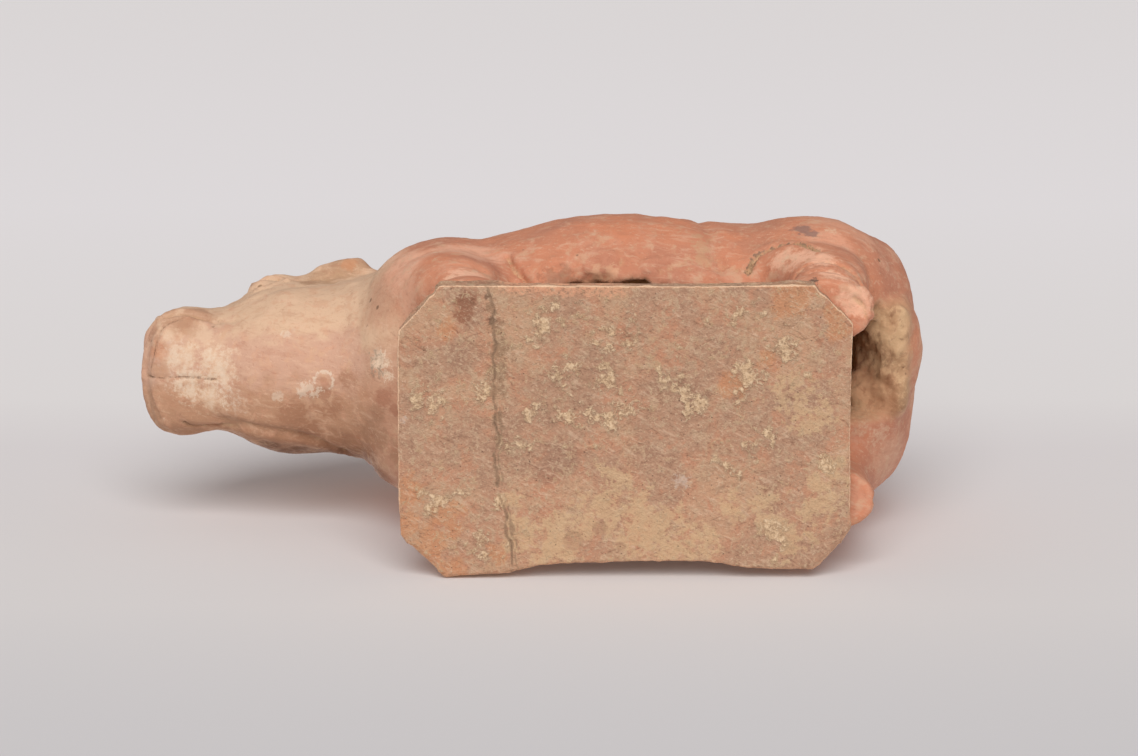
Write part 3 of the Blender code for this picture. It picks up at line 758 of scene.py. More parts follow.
def make_plinth():
    """The slab: its solid skinned anew, then worn, soiled, cracked and luted."""
    slab = merged_copy("plinth", "slab_plinth")
    reskin(slab, SLAB_VOXEL, 3)
    skin = Surface(slab)
    under = ramped(-skin.points[:, 2], -1.2, -0.4)
    side = ramped(1 - np.abs(skin.normals[:, 2]), 0.3, 0.7)
    wear_slab(skin, under, side)
    thick, thin_soil = lay_soil(skin, under)
    crack, side_crack = open_crack(skin)
    lay_crumbs(skin, under)
    skin.lumpy(np.ones(len(under)), 1.9, 0.10, 3, seed=5)
    skin.lumpy(under * (0.5 + 0.5 * thick), 1.1, 0.13, 2, seed=15)
    press_luting(skin)
    skin.press()
    skin.keep_inside(SLAB_LOW, (SLAB_HIGH.x, SLAB_HIGH.y, SLAB_HIGH.z + 1.2 * MM))

    level = skin.averaged(np.abs(skin.normals[:, 2]), 3)
    skin.store("thick_soil", thick)
    skin.store("thin_soil", thin_soil)
    skin.store("soil", skin.averaged(skin.soil, 1))
    skin.store("crack", crack)
    skin.store("side_crack", side_crack)
    skin.store("recess", ramped(skin.averaged(skin.hollowness(5), 1), 0.015, 0.1))
    skin.store("worn", ramped(1 - level, 0.1, 0.35) * ramped(-skin.points[:, 2], -2.4, -1.2))
    thin(slab, 1 - under, TRIANGLES)
    slab.data.shade_smooth()
    return slab


# ---------------------------------------------------------------- shader helpers


class Wire:
    """A shader socket that takes part in Python sums; each operator adds its Math node."""

    def __init__(self, finish, socket):
        self.finish = finish
        self.socket = socket

    def maths(self, operation, *values):
        """The socket through a Math node of its own."""
        return self.finish.node("Math", {"operation": operation}, dict(enumerate((self, *values))))

    def __add__(self, other):
        return self.maths("ADD", other)

    __radd__ = __add__

    def __mul__(self, other):
        return self.maths("MULTIPLY", other)

    __rmul__ = __mul__

    def __sub__(self, other):
        return self.maths("SUBTRACT", other)

    def __rsub__(self, other):
        return (self * -1.0) + other

    def size(self):
        """The value without its sign."""
        return self.maths("ABSOLUTE")

    def most(self, other):
        """The greater of two values."""
        return self.maths("MAXIMUM", other)

    def swing(self, reach):
        """Noise about 0.5 turned into a swing about 0."""
        return (self - 0.5) * reach


class Finish:
    """One material, built node by node; its colour is laid on in coats, from the clay up."""

    def __init__(self, name):
        self.material = bpy.data.materials.new(name)
        self.material.use_nodes = True
        self.tree = self.material.node_tree
        self.shader = self.tree.nodes["Principled BSDF"]
        self.place = self.node("TexCoord", output="Object")
        self.grains = {}
        self.colour = None

    def node(self, kind, settings=None, values=None, output=0):
        """Adds a node: its settings first, then the values or links of its sockets; gives one output."""
        made = self.tree.nodes.new("ShaderNode" + kind)
        for name, value in (settings or {}).items():
            if name == "stops":
                ramp = made.color_ramp
                while len(ramp.elements) < len(value):
                    ramp.elements.new(0.5)
                for element, (place, colour) in zip(ramp.elements, value):
                    element.position = place
                    element.color = (*colour, 1)
            else:
                setattr(made, name, value)
        for name, value in (values or {}).items():
            self.feed(made.inputs[name], value)
        return Wire(self, made.outputs[output])

    def feed(self, socket, value):
        """Links a wire to a socket, or sets the socket to a value."""
        if isinstance(value, Wire):
            self.tree.links.new(value.socket, socket)
        elif isinstance(value, tuple) and len(value) == 3 and socket.type == "RGBA":
            socket.default_value = (*value, 1)
        else:
            socket.default_value = value

    def set(self, **values):
        """Values or links for the main shader's sockets, with _ for a space."""
        for name, value in values.items():
            self.feed(self.shader.inputs[name.replace("_", " ")], value)

    def moved(self, shift=0.0, stretch=(1, 1, 1), turn=(0, 0, 0)):
        """The surface's place shifted, turned and stretched, so that patterns differ from each other."""
        return self.node("Mapping", {"vector_type": "TEXTURE"}, {
            "Vector": self.place, "Location": (shift, -shift, shift * 0.7),
            "Rotation": tuple(math.radians(t) for t in turn), "Scale": stretch,
        })

    def lumps(self, size, detail=4.0, rough=0.55, shift=0.0, stretch=(1, 1, 1), turn=(0, 0, 0), wavy=0.0):
        """Cloudy noise from 0 to 1 with lumps of the given size in millimetres."""
        return self.node("TexNoise", {}, {
            "Vector": self.moved(shift, stretch, turn), "Scale": 1 / (size * MM), "Detail": detail,
            "Roughness": rough, "Distortion": wavy,
        })

    def dots(self, size, share, shift=0.0, radius=0.3):
        """Small round dots in a share of the cells of the given size in millimetres."""
        cells = {"Vector": self.moved(shift), "Scale": 1 / (size * MM)}
        gap = self.node("TexVoronoi", {}, cells, output="Distance")
        tone = Wire(self, gap.socket.node.outputs["Color"])
        chance = self.node("SeparateColor", {}, {"Color": tone})
        return self.between(gap, radius, radius * 0.5) * chance.maths("LESS_THAN", share)

    def coat(self, colour, share):
        """Lays a colour over what is there, by a share from 0 to 1."""
        self.colour = self.mix(self.colour, colour, share)

    def tint(self, colour, pattern, low, high, strength, within=None):
        """Lays a colour where a pattern runs from low to high, and only within a share if one is given."""
        share = self.between(pattern, low, high)
        if within is not None:
            share = within * share
        self.coat(colour, share * strength)

    def stain(self, colour, strength, places, ragged=1.0, grain=2.5, density=1.0):
        """A colour over places (X, Y, Z, radius), broken up by noise of a grain; thinner below density 1."""
        if grain not in self.grains:
            self.grains[grain] = self.lumps(grain, 4, 0.7, shift=0.77)
        reach = None
        for x, y, z, radius in places:
            spot = self.spot(x, y, z, radius * 1.3)
            reach = spot if reach is None else reach.most(spot)
        broken = reach * density + self.grains[grain].swing(ragged) * 2.2
        self.coat(colour, self.between(broken, 0.2, 0.7) * self.between(reach, 0, 0.15) * strength)

    def between(self, value, low, high, start=0.0, end=1.0):
        """A smooth step from start at low to end at high."""
        return self.node("MapRange", {"interpolation_type": "SMOOTHSTEP"}, {
            "Value": value, "From Min": low, "From Max": high, "To Min": start, "To Max": end,
        })

    def mix(self, under, over, share):
        """Two colours mixed by a share from 0 to 1."""
        return self.node("Mix", {"data_type": "RGBA"}, {0: share, 6: under, 7: over}, output=2)

    def attribute(self, name):
        """One of the numbers that the shape keeps for its points."""
        return self.node("Attribute", {"attribute_name": name}, output="Fac")

    def axis(self, name):
        """One coordinate of the surface's place, in millimetres."""
        return self.node("SeparateXYZ", {}, {"Vector": self.place}, output=name) * (1 / MM)

    def spot(self, x, y, z, radius, core=0.0):
        """1 in the core of a ball about a place in millimetres, falling to 0 at its radius."""
        gap = self.node("VectorMath", {"operation": "DISTANCE"}, {
            0: self.place, 1: (x * MM, y * MM, z * MM),
        }, output="Value")
        return self.between(gap, radius * MM, radius * core * MM)

    def bump(self, height, strength, distance):
        """Surface relief from a height; the distance is in millimetres."""
        return self.node("Bump", {}, {"Height": height, "Strength": strength, "Distance": distance * MM})


def trail(places, radius, steps=3):
    """Stain places of one radius along a smooth run."""
    return [(*place, radius) for place in rounded_run(places, steps)]


def clay(red, green, blue):
    """A colour from its everyday 0 to 255 values."""
    def linear(value):
        value /= 255
        return value / 12.92 if value <= 0.04045 else ((value + 0.055) / 1.055) ** 2.4
    return (linear(red), linear(green), linear(blue))


# ---------------------------------------------------------------- finishes

ORANGE = clay(196, 127, 95)
DUSKY = clay(180, 119, 93)
ROSE = clay(200, 143, 116)
PALE_FILM = clay(212, 174, 146)
CREAM = clay(205, 170, 140)
ROSY_TAN = clay(193, 151, 127)
# The olive below is painted shade for the head's right side.
SHADED_OLIVE = clay(178, 134, 104)
BROWN_RED = clay(160, 104, 78)
SOIL = clay(192, 156, 118)
DARK_SOIL = clay(112, 84, 60)
LIME = clay(218, 200, 178)


def lay_ox_clay(finish, broad, patchy, cloudy):
    """Orange clay over the body, passing into the tan of the head, with painted shade darkening the head's
    right side and right cheek.
    """
    x, y, z = (finish.axis(name) for name in "XYZ")
    finish.colour = finish.mix(ORANGE, DUSKY, finish.between(broad, 0.42, 0.62) * 0.8)
    finish.tint(ROSE, patchy, 0.5, 0.66, 0.55)
    head = finish.between(y + broad.swing(44), -56, -78)
    # Painted shade: the head turns olive, then brown, towards its right side, and darker still on the right
    # cheek.
    throat = finish.mix(ROSY_TAN, SHADED_OLIVE, finish.between(x + patchy.swing(30), 8, -6))
    throat = finish.mix(throat, CREAM, finish.between(x + patchy.swing(24), 12, 19))
    throat = finish.mix(throat, clay(198, 146, 118), finish.between(cloudy, 0.5, 0.64) * 0.5)
    throat = finish.mix(throat, clay(160, 114, 84), finish.between(x + cloudy.swing(12), -10, -17) * 0.7)
    right_cheek_shade = finish.between(x + cloudy.swing(6), -16, -21) * finish.between(z, 80, 70)
    throat = finish.mix(throat, clay(126, 84, 58), right_cheek_shade * 0.8)
    finish.coat(throat, head)


def stain_ox(finish):
    """Old stains, paler and darker, from the breast to the rump, with painted light over the shoulder and
    painted shade under the right cheek.
    """
    # The breast, and broad paler patches on shoulder and haunch, with painted light over the shoulder's
    # shaded valley
    finish.stain(clay(190, 146, 118), 0.75, (
        (26, -66, 50, 12), (8, -66, 42, 13), (-6, -66, 42, 12), (-18, -66, 46, 10),
    ), 0.6, 5)
    finish.stain(clay(222, 160, 130), 0.6, (
        (36, -60, 50, 14), (42, -45, 52, 14), (36, -44, 30, 12), (46, 60, 48, 10),
    ), 0.4, 5)
    # Painted light: a paler coat over the valley between neck and shoulder and the chest below it, where the
    # shape lies in shade.
    finish.stain(clay(228, 176, 148), 0.38, (
        (30, -60, 36, 9), (34, -61, 44, 8), (36, -62, 56, 9), (40, -50, 55, 8), (41, -44, 46, 8),
        (43, -42, 58, 8), (42, -36, 50, 6), (38, -68, 66, 7),
    ), 0.6, 5)
    # The right of the breast, the throat, the left lip, and painted shade along the underside of the right
    # cheek
    finish.stain(clay(160, 118, 90), 0.7, ((-12, -72, 46, 8), (-16, -62, 42, 8), (-4, -70, 43, 5)), 0.8, 5)
    finish.stain(clay(156, 110, 82), 0.7, (
        (-3, -86, 51, 7), (-7, -95, 52, 7), (4, -79, 50, 5), (-12, -92, 54, 6),
    ), 0.8, 5)
    finish.stain(clay(166, 120, 92), 0.7, (
        (16.4, -131, 63, 6), (19, -125, 68, 7), (17, -133, 70, 6), (14, -137, 65, 5), (12, -135, 60, 4),
    ), 0.8, 5)
    # Painted shade: dark brown along the right cheek's lower edge, next to the paper.
    finish.stain(clay(116, 76, 50), 0.8, (
        (-20, -96, 64.5, 5), (-21, -88, 66, 5), (-18, -104, 61, 4.5), (-21, -82, 66, 5), (-24, -92, 70, 7),
        (-23, -100, 67, 6), (-24, -84, 70, 6),
    ), 0.3, 5)
    # The shoulder and the flank, the hind leg, the rump and the left ear
    finish.stain(clay(203, 126, 90), 0.5, (
        (41.7, -50.9, 41, 8), (40.4, -43.4, 31, 9), (44, -4, 60, 16), (44, 14, 62, 12), (46, 34, 60, 9),
    ), 0.6, 5)
    finish.stain(clay(176, 118, 92), 0.55, ((46, 40, 64, 13), (43, 38, 52, 8)), 0.6, 5)
    finish.stain(clay(232, 180, 150), 0.75, (
        (40, 46, 38, 6), (42, 50, 32, 7), (41, 55, 26, 7), (38, 58, 14, 8), (34, 63, 9, 7), (36, -44, 22, 9),
    ), 0.8, 2.5, 0.9)
    finish.stain(clay(210, 156, 128), 0.5, ((48, 64, 66, 12), (47, 72, 60, 10)), 0.7, 5)
    finish.stain(clay(204, 158, 130), 0.55, ((12, 86, 60, 12), (0, 86, 66, 10), (-20, 80, 50, 12)), 0.7, 5)
    finish.stain(clay(160, 122, 92), 0.75, (
        (25, -90, 92, 8), (29, -84, 95, 7), (24, -94, 88, 6), (31, -79, 97, 5),
    ), 0.5, 5)


def brush_ox(finish, brushed, scratched, fine, film):
    """Brushed and scratched streaks, a thin film and the rubbed high places."""
    for streaks, pale, brown in (
        (brushed, (0.53, 0.68, 0.38), (0.46, 0.32, 0.25)),
        (scratched, (0.58, 0.7, 0.4), (0.41, 0.3, 0.3)),
        (fine, (0.57, 0.74, 0.4), (0.43, 0.28, 0.4)),
    ):
        finish.tint(PALE_FILM, streaks, *pale)
        finish.tint(BROWN_RED, streaks, *brown)
    finish.tint(clay(200, 164, 132), film, 0.52, 0.62, 0.4)
    finish.tint(ROSE, fine, 0.35, 0.6, 0.35, finish.attribute("worn"))


def bloom_ox(finish, cloudy, fine):
    """Blooms and specks of lime, crusts, and the stains in the creases."""
    # The muzzle's underside, under a broken bloom
    finish.stain(clay(212, 180, 150), 0.6, (
        (7, -119, 55.5, 9), (8.3, -129.4, 56.5, 8), (1, -126.6, 56, 7), (-2, -121, 56, 7), (15, -123, 60, 6),
        (14, -133, 60, 4),
    ), 1.1, 2.5, 0.8)
    finish.stain(LIME, 0.32, (
        (7, -119, 55.5, 7), (9, -131, 57, 7), (0, -118, 55, 7), (2, -127, 56, 8), (-4, -113, 54, 4),
    ), 1.6, 2.5, 0.5)
    finish.stain(LIME, 0.3, (
        (7, -119, 55.5, 6), (9, -131, 57, 6), (0, -118, 55, 6), (2, -127, 56, 7), (-4, -113, 54, 3),
    ), 1.8, 1.2, 0.45)
    finish.stain(clay(188, 126, 92), 0.6, ((10, -135, 60, 5), (13, -130, 61, 4)), 0.8)
    finish.stain(clay(176, 130, 100), 0.5, ((16.7, -128, 62, 5), (5, -135, 58, 4), (-4, -133, 58, 4)), 1.0)
    finish.stain(LIME, 0.4, ((16.5, -98, 55, 2), (18, -96, 56, 1.2), (-1.2, -100.5, 50.3, 2)), 1.4, 1.2)
    # The ring of lime under the jaw and the specks beside it
    middle = (3.3, -86.8, 50.1)
    ring = finish.spot(*middle, 4.0, 0.7) - finish.spot(*middle, 2.9, 0.6)
    broken = ring + fine.swing(3.2) + cloudy.swing(3.2)
    finish.coat(LIME, finish.between(ring, 0, 0.3) * finish.between(broken, 0.5, 1.3) * 0.6)
    finish.stain(clay(176, 124, 96), 0.6, ((*middle, 1.8),), 0.6)
    finish.stain(LIME, 0.55, (
        (1.2, -91.8, 50, 3), (-0.6, -90.2, 50, 2), (0, -93.5, 50.5, 2), (0.5, -88.5, 50, 1.6),
    ), 1.5, 1.2, 0.85)
    # The crust on the brisket, the ear's edge and the haunch
    finish.stain(clay(222, 198, 172), 0.8, ((10.7, -69.8, 41.2, 5), (7, -67, 40.5, 3)), 1.0, 1.2, 0.85)
    finish.stain(clay(122, 92, 70), 0.6, ((11.5, -72, 41.5, 4), (8, -71, 41, 3.5)), 1.3, 1.2, 0.5)
    finish.stain(BROWN_RED, 0.6, ((0.4, -69, 39.6, 4.5), (-3, -66, 38, 3)), 0.8)
    finish.stain(clay(186, 124, 84), 0.55, ((31, -82.5, 95, 3.5),), 0.8)
    finish.stain(clay(132, 100, 90), 0.75, (
        (47.6, 51.6, 55.8, 3.6), (47.4, 52.8, 53.6, 3.2), (47, 54.4, 52, 3),
    ), 0.9, 2.5)
    finish.stain(clay(216, 182, 150), 0.6, (
        (47.2, 60.5, 55, 3.0), (33, -52, 26, 2.6), (47, 20, 52, 2.0), (42, -54, 50, 3), (41, 46, 36, 2),
    ), 1.1, 1.2, 0.7)
    # The flank's fold, the belly's rim with painted shade and painted light, the hind leg's crevice with a
    # painted shade line, and single dark pits
    finish.stain(clay(188, 146, 112), 0.6, (
        (43.5, 21.5, 60, 3), (43.5, 22, 55, 4), (42, 22.5, 50, 4), (39, 23, 45, 4), (38, 19, 44, 3),
    ), 1.1, 2.5, 0.85)
    # Painted shade beside the lump on the belly's rim, and painted light on the lump itself.
    finish.stain(clay(150, 98, 72), 0.5, ((35.5, -17, 41, 4), (35.2, -21, 41, 4)), 1.2)
    finish.stain(clay(216, 170, 134), 0.5, ((36.3, -7.5, 41.5, 3.4), (36.6, -3.5, 41.5, 3)), 1.2)
    finish.stain(clay(188, 150, 118), 0.6, trail(STIFLE_LINE, 2.0), 1.1, 1.2, 0.8)
    # Painted shade: a dark line down the middle of the hind leg's crevice.
    finish.stain(clay(112, 86, 70), 0.75, trail(STIFLE_LINE, 1.5), 1.4, 1.2, 0.95)
    finish.stain(DARK_SOIL, 0.8, (
        (25.6, -70.9, 47.2, 1.0), (26.6, -73.3, 53.9, 1.0), (38.4, 74.3, 53.2, 0.9), (38.2, 74.6, 51, 0.7),
        (18.4, -119, 66.8, 0.9), (17.3, -120.3, 63.2, 0.7), (25.1, -108.8, 86.8, 1.1), (8, -107, 51, 0.5),
    ), 0.4, 1.2)
    finish.stain(clay(210, 178, 150), 0.45, ((-12, 74, 45, 5), (-8, 70, 40, 4)), 1.3, 1.2, 0.6)


def soil_ox(finish, broad, patchy, cloudy, fine):
    """Soil in the hollows and the hollow body, torn clay between the thighs, painted shade along the creases,
    specks, and painted shadow where the hooves meet the plinth.
    """
    recess = finish.attribute("recess")
    torn = finish.attribute("torn")
    laid = finish.attribute("soil")
    soiled = (recess * finish.between(cloudy, 0.35, 0.6) * 0.6).most(finish.attribute("pocket") * 0.15)
    soiled = soiled.most(finish.between(laid + cloudy.swing(1.2), 0.15, 0.6) * 0.8)
    finish.coat(SOIL, soiled.most(finish.attribute("inside")).most(torn))
    finish.tint(clay(164, 124, 90), patchy, 0.44, 0.56, 0.7, torn)
    finish.tint(clay(206, 170, 134), fine, 0.48, 0.66, 0.6, torn)
    finish.tint(clay(124, 86, 60), cloudy, 0.47, 0.36, 0.5, torn)
    finish.tint(clay(176, 112, 78), broad, 0.5, 0.6, 0.4, torn)
    finish.tint(DARK_SOIL, laid + fine.swing(1.6), 0.55, 1.0, 0.6)
    # Painted shade: the dark share darkens the creases, pinches and the opened seam.
    lines = finish.attribute("dark") + fine.swing(1.2) + cloudy.swing(1.0)
    finish.tint(clay(104, 68, 48), lines, 0.4, 0.9, 0.7)
    finish.tint(DARK_SOIL, fine, 0.5, 0.64, 0.35, recess)
    finish.coat(DARK_SOIL, finish.dots(7, 0.07, shift=0.3, radius=0.07) * 0.6)
    finish.coat(LIME, finish.dots(6, 0.09, shift=0.5, radius=0.06) * 0.4)
    # Painted shadow where the hooves meet the edge of the plinth.
    finish.stain(clay(86, 70, 58), 0.85, (
        (40, 43, 7.5, 2.5), (40.5, 47, 7.5, 2.5), (40, 51, 7.5, 2.5), (36, -37, 8, 2),
    ), 1.3, 1.2, 0.8)


def ox_finish():
    """Orange-pink clay, paler over the head, with brushed streaks, soil in the hollows and blooms of lime."""
    finish = Finish("red_earthenware")
    broad = finish.lumps(26, 3, 0.5, shift=0.1)
    patchy = finish.lumps(9, 4, 0.6, shift=0.23, wavy=0.6)
    cloudy = finish.lumps(3.6, 5, 0.65, shift=0.37, wavy=0.4)
    fine = finish.lumps(1.0, 4, 0.7, shift=0.05)
    brushed = finish.lumps(2.2, 5, 0.6, shift=0.61, stretch=(1, 4, 1.6), turn=(0, 0, 8), wavy=0.8)
    scratched = finish.lumps(0.8, 3, 0.6, shift=0.83, stretch=(1, 7, 1.2), turn=(10, 0, 24), wavy=0.5)
    lay_ox_clay(finish, broad, patchy, cloudy)
    stain_ox(finish)
    brush_ox(finish, brushed, scratched, fine, cloudy * 0.6 + patchy * 0.4)
    bloom_ox(finish, cloudy, fine)
    soil_ox(finish, broad, patchy, cloudy, fine)
    finish.set(Base_Color=finish.colour, Roughness=finish.between(fine, 0.3, 0.7, 0.78, 0.95))

    grain = finish.lumps(0.45, 4, 0.6, shift=0.9)
    height = grain * 0.35 + fine * 0.5 + cloudy * 0.3 + brushed * 0.5 + scratched * 0.3
    finish.set(Normal=finish.bump(height, 0.5, 0.5))
    return finish.material


def lay_slab_clay(finish, broad, patchy, cloudy):
    """Pink-brown clay with tan clouds, orange where the soil has come off, and stains along the break."""
    finish.colour = finish.mix(clay(172, 132, 106), clay(180, 130, 102), finish.between(broad, 0.42, 0.58))
    finish.tint(clay(148, 110, 88), patchy, 0.5, 0.62, 0.6)
    finish.tint(clay(186, 130, 100), patchy, 0.46, 0.36, 0.55)
    finish.tint(clay(176, 144, 118), cloudy, 0.5, 0.62, 0.65)
    finish.tint(clay(190, 156, 124), broad * 0.5 + patchy * 0.3 + cloudy * 0.2, 0.48, 0.56, 0.45)
    finish.stain(clay(190, 130, 90), 0.6, (
        (36, 45, 0, 8), (27, -49, 0, 4), (-18, -60, 0, 6), (-27, -60, 0, 5), (-25, -49, 0, 6), (12, 29, 0, 5),
        (19, 39, 0, 4), (27, 58, 0, 5), (31, 56, 3, 6), (-33, -54, 0, 7), (-40, -48, 3, 7), (-36, -36, 1, 4),
    ), 1.3, 5)
    finish.stain(clay(144, 106, 86), 0.5, ((-8, -17.5, 0, 7), (-13, -22, 0, 5)), 0.6, 5)
    finish.stain(clay(136, 108, 82), 0.65, (
        (33, -37, 0, 2.5), (28, -35.5, 0, 3.5), (22, -34.5, 0, 4.5), (16, -34.4, 0, 4.5), (10, -35, 0, 3.5),
        (3, -35, 0, 2.5), (-3, -34.6, 0, 2),
    ), 0.9, 2.5, 0.85)
    finish.stain(clay(134, 84, 60), 0.75, ((34.8, -43.6, 0, 4.4), (31.6, -43.8, 0, 4.2)), 0.6, 2.5)
    finish.stain(clay(104, 78, 60), 0.75, ((29.6, -36.4, 0, 1.8), (36.5, -37.5, 0, 1.6)), 0.8, 1.2)


def soil_slab(finish, patchy, cloudy, fine, curled, open_line):
    """A lacy veil all over, thin soil and a crust with paler crumbs, off the open break; gives the crust."""
    lace = curled.swing(2.4) + fine.swing(2.4) + cloudy.swing(1.4)
    finish.tint(clay(200, 170, 140), lace + patchy.swing(2.0), 0.05, 0.9, 0.5)
    finish.tint(clay(198, 164, 126), finish.attribute("thin_soil") + lace * 0.9, 0.15, 0.9, 0.65)
    crust = finish.between(finish.attribute("thick_soil") * 1.1 + lace * 0.9, 0.3, 1.1)
    crust = crust.most(finish.between(finish.attribute("soil") + lace * 0.5, 0.4, 0.9) * 0.8)
    crust = crust * (1.0 - open_line)
    finish.coat(clay(204, 172, 136), crust * 0.7)
    finish.tint(clay(218, 190, 158), fine + curled * 0.5, 0.73, 0.88, 0.6, crust)
    finish.tint(clay(150, 114, 86), curled, 0.46, 0.36, 0.55, crust)
    finish.stain(clay(194, 172, 156), 0.6, ((-15, 15.4, 0, 3.0), (2, -61, 0, 1.6)), 1.2, 1.2, 0.7)
    for x, y, radius in DRIP_RINGS:
        finish.coat(clay(168, 130, 102), finish.spot(x, y, 0, radius, 0.8) * 0.5)
    return crust


def rub_slab(finish, patchy, cloudy, fine):
    """Painted shade in the hollows, a rubbed strip along the left edge, and worn arrises under a pale painted
    highlight, strongest towards the left.
    """
    x, y = finish.axis("X"), finish.axis("Y")
    along = finish.between((y + 17.0 + cloudy.swing(20)).size(), 20, 13)
    strip = finish.between(x + y * 0.04 + cloudy.swing(7) + fine.swing(3), 35.6, 36.8) * along
    worn = finish.attribute("worn")
    # Painted shade: the small hollows of the underside are darkened.
    finish.tint(clay(112, 80, 58), fine, 0.3, 0.6, 0.6, finish.attribute("recess"))
    finish.tint(clay(216, 154, 120), fine, 0.34, 0.56, 0.65, strip)
    finish.tint(clay(198, 136, 98), cloudy, 0.36, 0.5, 0.6, worn)
    # Painted highlight: pale cream along the worn arrises, stronger towards the left side, where the key
    # light falls.
    lit_edge = finish.between(x + patchy.swing(60), -30, -5)
    arris_highlight = finish.between(worn + fine.swing(1.2) + cloudy.swing(1.2), 0.35, 0.9)
    finish.coat(clay(232, 194, 160), arris_highlight * finish.between(lit_edge, 0, 1, 0.3, 0.95))


def slab_finish():
    """Pink-brown clay under a thin crust of yellow soil, with worn orange edges and a filled break."""
    finish = Finish("soiled_earthenware")
    broad = finish.lumps(18, 3, 0.5, shift=0.2, wavy=0.5)
    patchy = finish.lumps(7, 5, 0.65, shift=0.3, wavy=0.5)
    cloudy = finish.lumps(2.6, 5, 0.7, shift=0.4, wavy=0.5)
    fine = finish.lumps(0.9, 4, 0.7, shift=0.6)
    curled = finish.lumps(1.7, 4, 0.7, shift=0.15, wavy=2.5)
    drawn = finish.lumps(1.1, 4, 0.6, shift=0.7, stretch=(1, 4, 1), turn=(0, 0, 30), wavy=1.0)
    crossed = finish.lumps(0.9, 4, 0.6, shift=0.8, stretch=(1, 5, 1), turn=(0, 0, -20), wavy=1.0)
    lay_slab_clay(finish, broad, patchy, cloudy)
    finish.tint(clay(206, 174, 146), drawn, 0.54, 0.68, 0.5)
    finish.tint(clay(128, 90, 66), drawn, 0.42, 0.3, 0.5)
    finish.tint(clay(204, 170, 142), crossed, 0.6, 0.72, 0.4)
    finish.tint(clay(124, 88, 66), crossed, 0.4, 0.3, 0.45)
    finish.tint(clay(210, 180, 154), fine, 0.55, 0.7, 0.6)
    finish.tint(clay(120, 84, 62), fine, 0.43, 0.28, 0.65)

    crack = finish.attribute("crack") + fine.swing(0.9) + cloudy.swing(0.6)
    side_crack = finish.attribute("side_crack") + fine.swing(1.2)
    open_line = finish.between(crack.most(side_crack * 0.8), 0.3, 0.7)
    crust = soil_slab(finish, patchy, cloudy, fine, curled, open_line)
    rub_slab(finish, patchy, cloudy, fine)
    finish.coat(clay(136, 108, 84), open_line * 0.65)
    finish.tint(clay(98, 74, 58), crack.most(side_crack * 0.9), 0.8, 1.1, 0.65)
    pits = finish.dots(2.4, 0.2, shift=0.3, radius=0.1) + finish.dots(1.3, 0.08, shift=0.6, radius=0.16)
    finish.coat(clay(92, 68, 52), pits * 0.6)
    finish.set(Base_Color=finish.colour, Roughness=finish.between(fine, 0.3, 0.7, 0.86, 0.98))

    grain = finish.lumps(0.4, 4, 0.65, shift=0.9)
    height = grain * 0.4 + fine * 0.8 + cloudy * 0.5 + drawn * 0.6 + crossed * 0.5 + crust * 0.4 - pits * 0.6
    finish.set(Normal=finish.bump(height, 0.8, 0.6))
    return finish.material


# ---------------------------------------------------------------- the studio

# The camera looks up from under the slab, tilted towards the ox's left; its places are in metres
CAMERA_TILT = math.radians(11)
CAMERA_DISTANCE = 0.779
CAMERA_RAISED = 0.0137
CAMERA_SHIFTED = -0.0155
CAMERA_LENS = 90
# The two papers: their corners in metres, and how far they keep off the solids
SHEET_CORNERS = ((-6, -4), (3, 4))
SHEET_GAP = 0.2 * MM
FLOOR_CORNERS = ((-3, -3), (3, 3))
FLOOR_GAP = 0.1 * MM
ROOM_LIGHT = 0.37
# Each light's name, the side it comes from, its spread in degrees and its strength
LIGHTS = (
    ("key", (0.65, 0.0, -0.76), 46, 2.85),
    ("head_side", (0.25, -0.35, -1.0), 50, 0.22),
    ("top", (-0.3, -0.45, 0.9), 30, 1.3),
    ("far_side", (-0.75, 0.5, 0.6), 40, 1.0),
)


def flat_card(name, low, high, turn):
    """A flat rectangle from its two corners in its own plane, then turned into place."""
    bm = bmesh.new()
    bmesh.ops.create_grid(bm, x_segments=1, y_segments=1, size=0.5)
    size = Vector(high) - Vector(low)
    bmesh.ops.scale(bm, vec=(size.x, size.y, 1), verts=bm.verts)
    bmesh.ops.translate(bm, vec=(Vector(low) + size / 2).to_3d(), verts=bm.verts)
    bmesh.ops.transform(bm, matrix=turn, verts=bm.verts)
    mesh = bpy.data.meshes.new(name)
    bm.to_mesh(mesh)
    bm.free()
    card = bpy.data.objects.new(name, mesh)
    bpy.context.scene.collection.objects.link(card)
    card.visible_shadow = False
    card.visible_glossy = False
    return card


def paper_finish(name, colour):
    """Matt paper that shows on its face and is clear from behind."""
    finish = Finish(name)
    finish.set(Base_Color=colour(finish), Roughness=1.0, Specular_IOR_Level=0.0)
    behind = finish.node("NewGeometry", output="Backfacing")
    clear = finish.node("BsdfTransparent")
    shown = finish.node("MixShader", {}, {0: behind, 1: Wire(finish, finish.shader.outputs[0]), 2: clear})
    finish.tree.links.new(shown.socket, finish.tree.nodes["Material Output"].inputs["Surface"])
    return finish.material


def shaded_sheet_colour(finish):
    """Painted shade on the paper: darker in front of the ox, towards the camera, than behind it."""
    depth = finish.between(finish.axis("Z"), -200, 2500)
    return finish.node("ValToRGB", {"stops": (
        (0.0, clay(206, 203, 204)), (0.012, clay(216, 212, 211)), (0.05, clay(217, 212, 212)),
        (0.075, clay(224, 220, 219)), (0.3, clay(228, 224, 225)), (1.0, clay(225, 221, 221)),
    )}, {"Fac": depth})


def plain_colour(finish):
    """One even white for the floor's paper."""
    return clay(226, 223, 222)


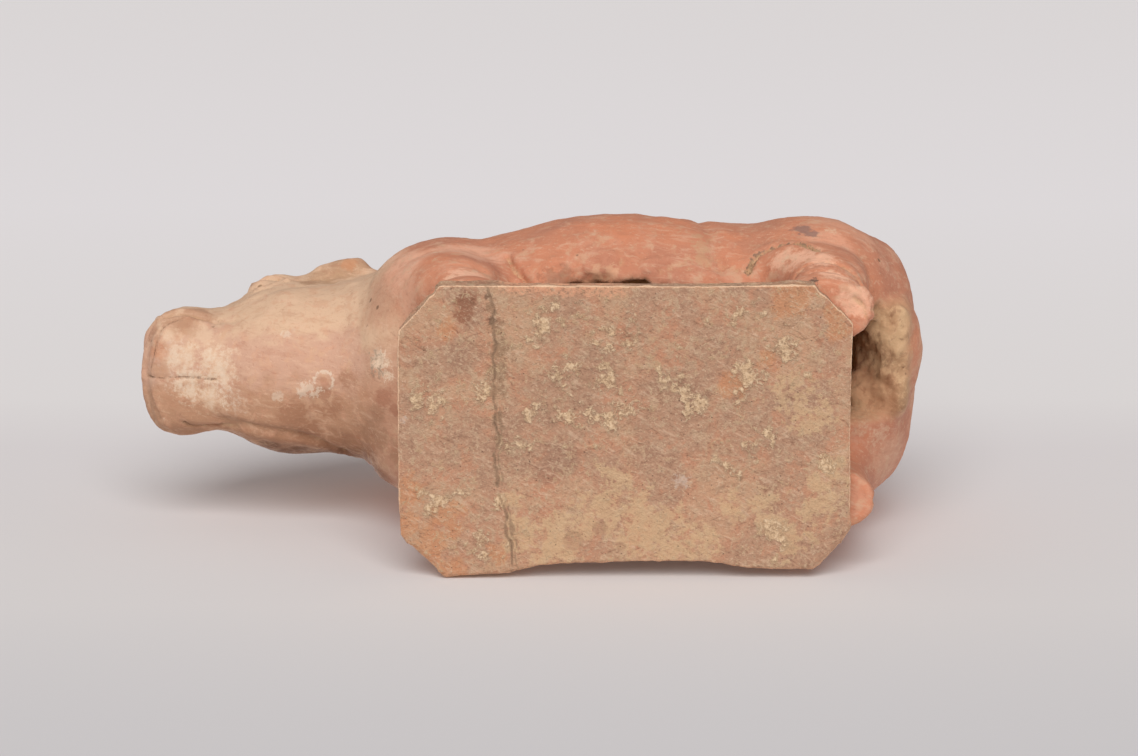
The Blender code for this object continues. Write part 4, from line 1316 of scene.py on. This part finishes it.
def make_studio():
    """A paper sheet beside the ox, a floor under it that shows from above, and soft light all round."""
    upright = Matrix.Rotation(math.radians(90), 4, "Y")
    beside = Matrix.Translation((SOLID_LOW.x - SHEET_GAP, 0, 0)) @ upright
    sheet = flat_card("paper_sheet", *SHEET_CORNERS, beside)
    # The sheet's paper carries painted shade, darker towards the camera.
    sheet.data.materials.append(paper_finish("sheet_paper", shaded_sheet_colour))
    floor = flat_card("paper_floor", *FLOOR_CORNERS, Matrix.Translation((0, 0, -FLOOR_GAP)))
    floor.data.materials.append(paper_finish("floor_paper", plain_colour))
    floor.visible_diffuse = False

    world = bpy.data.worlds.new("studio")
    world.use_nodes = True
    backdrop = world.node_tree.nodes["Background"]
    backdrop.inputs["Color"].default_value = (*clay(240, 238, 238), 1)
    backdrop.inputs["Strength"].default_value = ROOM_LIGHT
    bpy.context.scene.world = world

    for name, side, spread, strength in LIGHTS:
        soft_light(name, side, spread, strength)


def soft_light(name, side, spread, strength):
    """A wide, even light from far away on one side."""
    light = bpy.data.lights.new(name, "SUN")
    light.angle = math.radians(spread)
    light.energy = strength
    lamp = bpy.data.objects.new(name, light)
    lamp.rotation_euler = Vector(side).to_track_quat("Z", "Y").to_euler()
    bpy.context.scene.collection.objects.link(lamp)


def make_camera():
    """Looks up at the plinth's underside from a little towards the ox's left, head to the left."""
    look = Vector((-math.sin(CAMERA_TILT), 0, math.cos(CAMERA_TILT)))
    up = Vector((math.cos(CAMERA_TILT), 0, math.sin(CAMERA_TILT)))
    right = Vector((0, 1, 0))
    lens = bpy.data.cameras.new("camera")
    lens.lens = CAMERA_LENS
    lens.sensor_width = 36
    camera = bpy.data.objects.new("camera", lens)
    bpy.context.scene.collection.objects.link(camera)
    turn = Matrix((right, up, -look)).transposed().to_4x4()
    place = look * -CAMERA_DISTANCE + up * CAMERA_RAISED + right * CAMERA_SHIFTED
    camera.matrix_world = Matrix.Translation(place) @ turn
    bpy.context.scene.camera = camera


# ---------------------------------------------------------------- putting it together

make_camera()
make_studio()
bpy.context.scene.view_settings.view_transform = "Standard"

tomb_ox = make_ox()
tomb_ox.data.materials.append(ox_finish())
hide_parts("ox")
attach(tomb_ox, "root")

slab_plinth = make_plinth()
slab_plinth.data.materials.append(slab_finish())
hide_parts("plinth")
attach(slab_plinth, "root")
